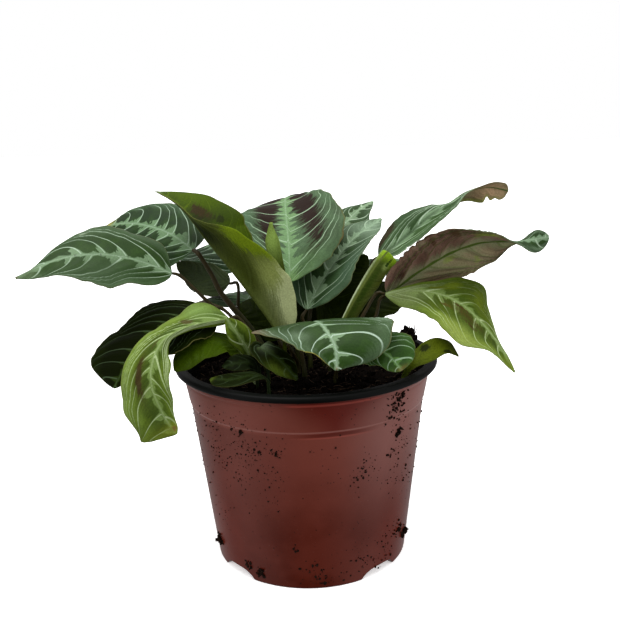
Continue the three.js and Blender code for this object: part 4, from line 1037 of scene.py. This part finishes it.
def build_soil(material):
    """One closed body: the uneven top, a wall around it and a flat bottom"""
    edge = float(wall_radius(SOIL_EDGE)) - 2 * WALL - 0.7
    r = edge * np.linspace(0.004, 1, SOIL_RINGS)[:, None]
    turn = full_turn(SOIL_AROUND)[None, :]
    points = on_soil(r * np.cos(turn), r * np.sin(turn))
    points = np.concatenate([points, points[-1:]])
    points[-1, :, 2] = SOIL_SKIRT
    index = np.arange((SOIL_RINGS + 1) * SOIL_AROUND).reshape(-1, SOIL_AROUND)
    faces = quads(index, reverse=True) + [index[0].tolist(), index[-1, ::-1].tolist()]
    settle(mesh_object("soil_top", points.reshape(-1, 3), faces, [material]), "soil", "soil")


def ball():
    """Points and faces of a small round crumb"""
    made = bpy.data.meshes.new("crumb_form")
    form = bmesh.new()
    bmesh.ops.create_icosphere(form, subdivisions=2, radius=1.0)
    form.to_mesh(made)
    form.free()
    points = np.array([v.co for v in made.vertices])
    faces = [list(p.vertices) for p in made.polygons]
    bpy.data.meshes.remove(made)
    return points, faces


def scatter(name, places, sizes, material, seed, least=0.55, most=1.25):
    """Crumbs at given places, each turned, stretched and dented by seeded draws"""
    form, form_faces = ball()
    draw = np.random.default_rng(seed)
    parts = []
    for place, size in zip(places, sizes):
        dents = 1 + 0.32 * draw.standard_normal(len(form)).clip(-1.4, 1.4)
        stretch = draw.uniform(least, most, 3)
        angle = draw.uniform(0, 6.28)
        turn = np.array(Matrix.Rotation(angle, 3, Vector(draw.standard_normal(3)).normalized()))
        parts.append(((form * dents[:, None] * stretch) @ turn.T * size + place, form_faces))
    settle(mesh_object(name, *joined(parts), [material], smooth=False), "soil")


def loose_fibre(draw, edge):
    """A bent fibre that lies on the soil, or None where it would leave the pot"""
    r = edge * math.sqrt(draw.uniform(0, 1))
    turn = draw.uniform(0, 2 * math.pi)
    heading = draw.uniform(0, 2 * math.pi)
    long = draw.uniform(2, 7)
    s = np.linspace(0, 1, 6)
    angle = heading + draw.uniform(-0.6, 0.6) * s
    x = r * math.cos(turn) + long * s * np.cos(angle)
    y = r * math.sin(turn) + long * s * np.sin(angle)
    if np.hypot(x, y).max() >= edge:
        return None
    line = on_soil(x, y)
    line[:, 2] = line[:, 2].max() + 0.25 + np.sin(s * math.pi) * draw.uniform(0, 1.2)
    return tube(line, np.full(6, draw.uniform(0.08, 0.24)), 5)


def build_crumbs(material, fibre):
    """Loose crumbs and fibres on the soil, and the pile of both at the rim"""
    draw = np.random.default_rng(7)
    edge = float(wall_radius(SOIL_EDGE)) - 2.6
    r = edge * np.sqrt(draw.uniform(0, 1, LOOSE_CRUMBS))
    turn = draw.uniform(0, 2 * math.pi, LOOSE_CRUMBS)
    size = draw.uniform(0.3, 1.0, LOOSE_CRUMBS) ** 2 * 1.5 + 0.25
    places = on_soil(r * np.cos(turn), r * np.sin(turn), size * 0.3)
    scatter("soil_crumbs", places, size, material, 8)

    pile_x, pile_y = PILE_PLACE
    x = pile_x + draw.normal(0, 4.5, PILE_CRUMBS)
    y = pile_y + draw.normal(0, 6, PILE_CRUMBS)
    keep = np.hypot(x, y) < edge + 1
    x, y = x[keep], y[keep]
    size = draw.uniform(0.7, 2.2, len(x))
    rise = draw.uniform(0, 1, len(x)) * (1 + PILE_RISE * hill(x, y, PILE_PLACE, (5, 7)))
    scatter("heap_crumbs", on_soil(x, y, rise), size, material, 9)

    parts = []
    for _ in range(PILE_FIBRES):
        foot = [pile_x + draw.normal(-2, 3), pile_y + draw.normal(2, 3), draw.uniform(98, 103)]
        lean = draw.normal(0, 1.6, 3)
        line = np.array([foot, foot + lean + [0, 0, 1.5], foot + 1.7 * lean + [0, 0, draw.uniform(2.5, 5)]])
        parts.append(tube(even_points(line, 5)[0], np.linspace(0.45, 0.2, 6), 5))
    parts += [loose_fibre(draw, edge) for _ in range(LOOSE_FIBRES)]
    settle(mesh_object("soil_fibres", *joined([part for part in parts if part]), [fibre]), "soil")


def build_dirt(material):
    """Dried crumbs stuck to the pot's wall, and a few on the rim at the left"""
    draw = np.random.default_rng(17)
    places, sizes = [], []
    for turn, z, spread, count, largest in DIRT:
        for _ in range(count):
            height = float(np.clip(z + draw.normal(0, spread * 0.8), 3, 95))
            angle = math.radians(turn - 90 + draw.normal(0, spread * 0.9))
            size = largest * draw.uniform(0.25, 1.0) ** 1.6
            r = float(wall_radius(height)) + size * 0.15
            places.append([r * math.cos(angle), r * math.sin(angle), height])
            sizes.append(size)
    for _ in range(RIM_CRUMBS):
        places.append([draw.normal(-65, 0.5), draw.normal(-3, 1.5), draw.normal(98.5, 0.8)])
        sizes.append(draw.uniform(0.3, 0.8))
    scatter("pot_dirt", places, sizes, material, 18, 0.25, 1.6)


def build_camera():
    """Camera at the photograph's place, measured from the pot's foot, with a small roll"""
    forward = Vector((0, math.cos(CAMERA_PITCH), -math.sin(CAMERA_PITCH)))
    right = Vector((1, 0, 0))
    above = right.cross(forward)
    x_axis = right * math.cos(CAMERA_ROLL) + above * math.sin(CAMERA_ROLL)
    y_axis = above * math.cos(CAMERA_ROLL) - right * math.sin(CAMERA_ROLL)
    turn = Matrix((x_axis, y_axis, -forward)).transposed()
    data = bpy.data.cameras.new("camera")
    data.lens, data.sensor_width = CAMERA_LENS, SENSOR_WIDTH
    data.clip_start, data.clip_end = 0.01, 50
    camera = new_object("camera", data)
    camera.matrix_world = Matrix.Translation(to_frame(CAMERA_PLACE)) @ turn.to_4x4()
    bpy.context.scene.camera = camera


def build_softbox():
    """Square light above the plant, turned to its middle"""
    data = bpy.data.lights.new("top_softbox", "AREA")
    data.shape, data.size, data.size_y = "RECTANGLE", SOFTBOX_SIZE, SOFTBOX_SIZE
    data.energy = SOFTBOX_POWER
    place = Vector(SOFTBOX_PLACE)
    turn = (Vector(to_frame((0, 0, 110))) - place).to_track_quat("-Z", "Y")
    new_object("top_softbox", data).matrix_world = Matrix.Translation(place) @ turn.to_matrix().to_4x4()


def studio_world():
    """White to the camera; as light it is bright above and behind, with two soft panels in front"""
    n = Nodes(bpy.data.worlds.new("surroundings"))
    x, y, z = n.split(n.place("Generated"))
    above = z.step(0.55, 0.98, 0.0, 2.2)
    back = y.step(-0.1, 0.5, 0.0, 0.5)
    front = y.step(0.3, -0.2) * z.step(0.85, 0.45)
    panels = abs(x).step(0.0, 0.95) * front * 1.6
    fill = y.step(0.0, -0.5, 0.0, 0.3) * z.step(-0.2, 0.3)
    seen = n.add("ShaderNodeLightPath", {}, "Is Camera Ray")
    background = n.tree.nodes["Background"].inputs
    n.join(n.math("MAXIMUM", above + back + panels + fill + 0.08, seen), background["Strength"])
    n.join(WHITE, background["Color"])
    return n.owner


def build_stage():
    """Pale floor, white surroundings and a soft light"""
    n = new_material("floor_paint")
    n.colour = n.mix(n.noise(20.0), (0.93, 0.93, 0.93, 1), (0.95, 0.95, 0.95, 1))
    material = n.finish(0.9, 0.1, Emission_Color=WHITE, Emission_Strength=0.45)
    mesh = bpy.data.meshes.new("floor")
    corners = [(x * FLOOR_HALF, y * FLOOR_HALF, 0) for x, y in ((-1, -1), (1, -1), (1, 1), (-1, 1))]
    mesh.from_pydata(corners, [], [(0, 1, 2, 3)])
    mesh.materials.append(material)
    floor = new_object("floor", mesh)
    floor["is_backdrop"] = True
    floor.visible_diffuse = False
    floor.visible_glossy = False
    bpy.context.scene.world = studio_world()
    build_softbox()
    bpy.context.scene.view_settings.view_transform = "Standard"


def build_leaves():
    """Blades with their stalks, then the sprouts; each leaf's waves have their own seed"""
    stalk_skin = stalk_material()
    slots = {s["node"]: s["material_slot"] for s in frame["record"]["subparts"]}
    skins = {}
    for key, look in LOOKS.items():
        look = LOOK | look
        skins[key] = [upper_material("blade_" + key, look), under_material("blade_" + key, look)]
    kinds = ((LEAVES, LEAF, BLADE_GRID, LEAF_SEED), (SPROUTS, SPROUT, SPROUT_GRID, SPROUT_SEED))
    for forms, common, size, seed in kinds:
        for i, (key, form) in enumerate(forms.items()):
            leaf = common | form
            name = "leaf_" + key
            blade(name, leaf, size, skins[leaf["look"]], slots[name], seed + 10 * i)
            if "stalk" in leaf:
                stalk("stalk_" + key, leaf, stalk_skin)


build_camera()
build_stage()
build_pot(pot_material())
build_lip(lip_material())
crust = soil_material("soil_crust", "070504", "1d1510")
build_soil(crust)
build_crumbs(crust, fibre_material())
build_dirt(soil_material("dried_dirt", "120b08", "33231b"))
build_leaves()

boxes = {"cad": cad_box, "visual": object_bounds()}
boxes = {key: [list(corner) for corner in box] for key, box in boxes.items()}
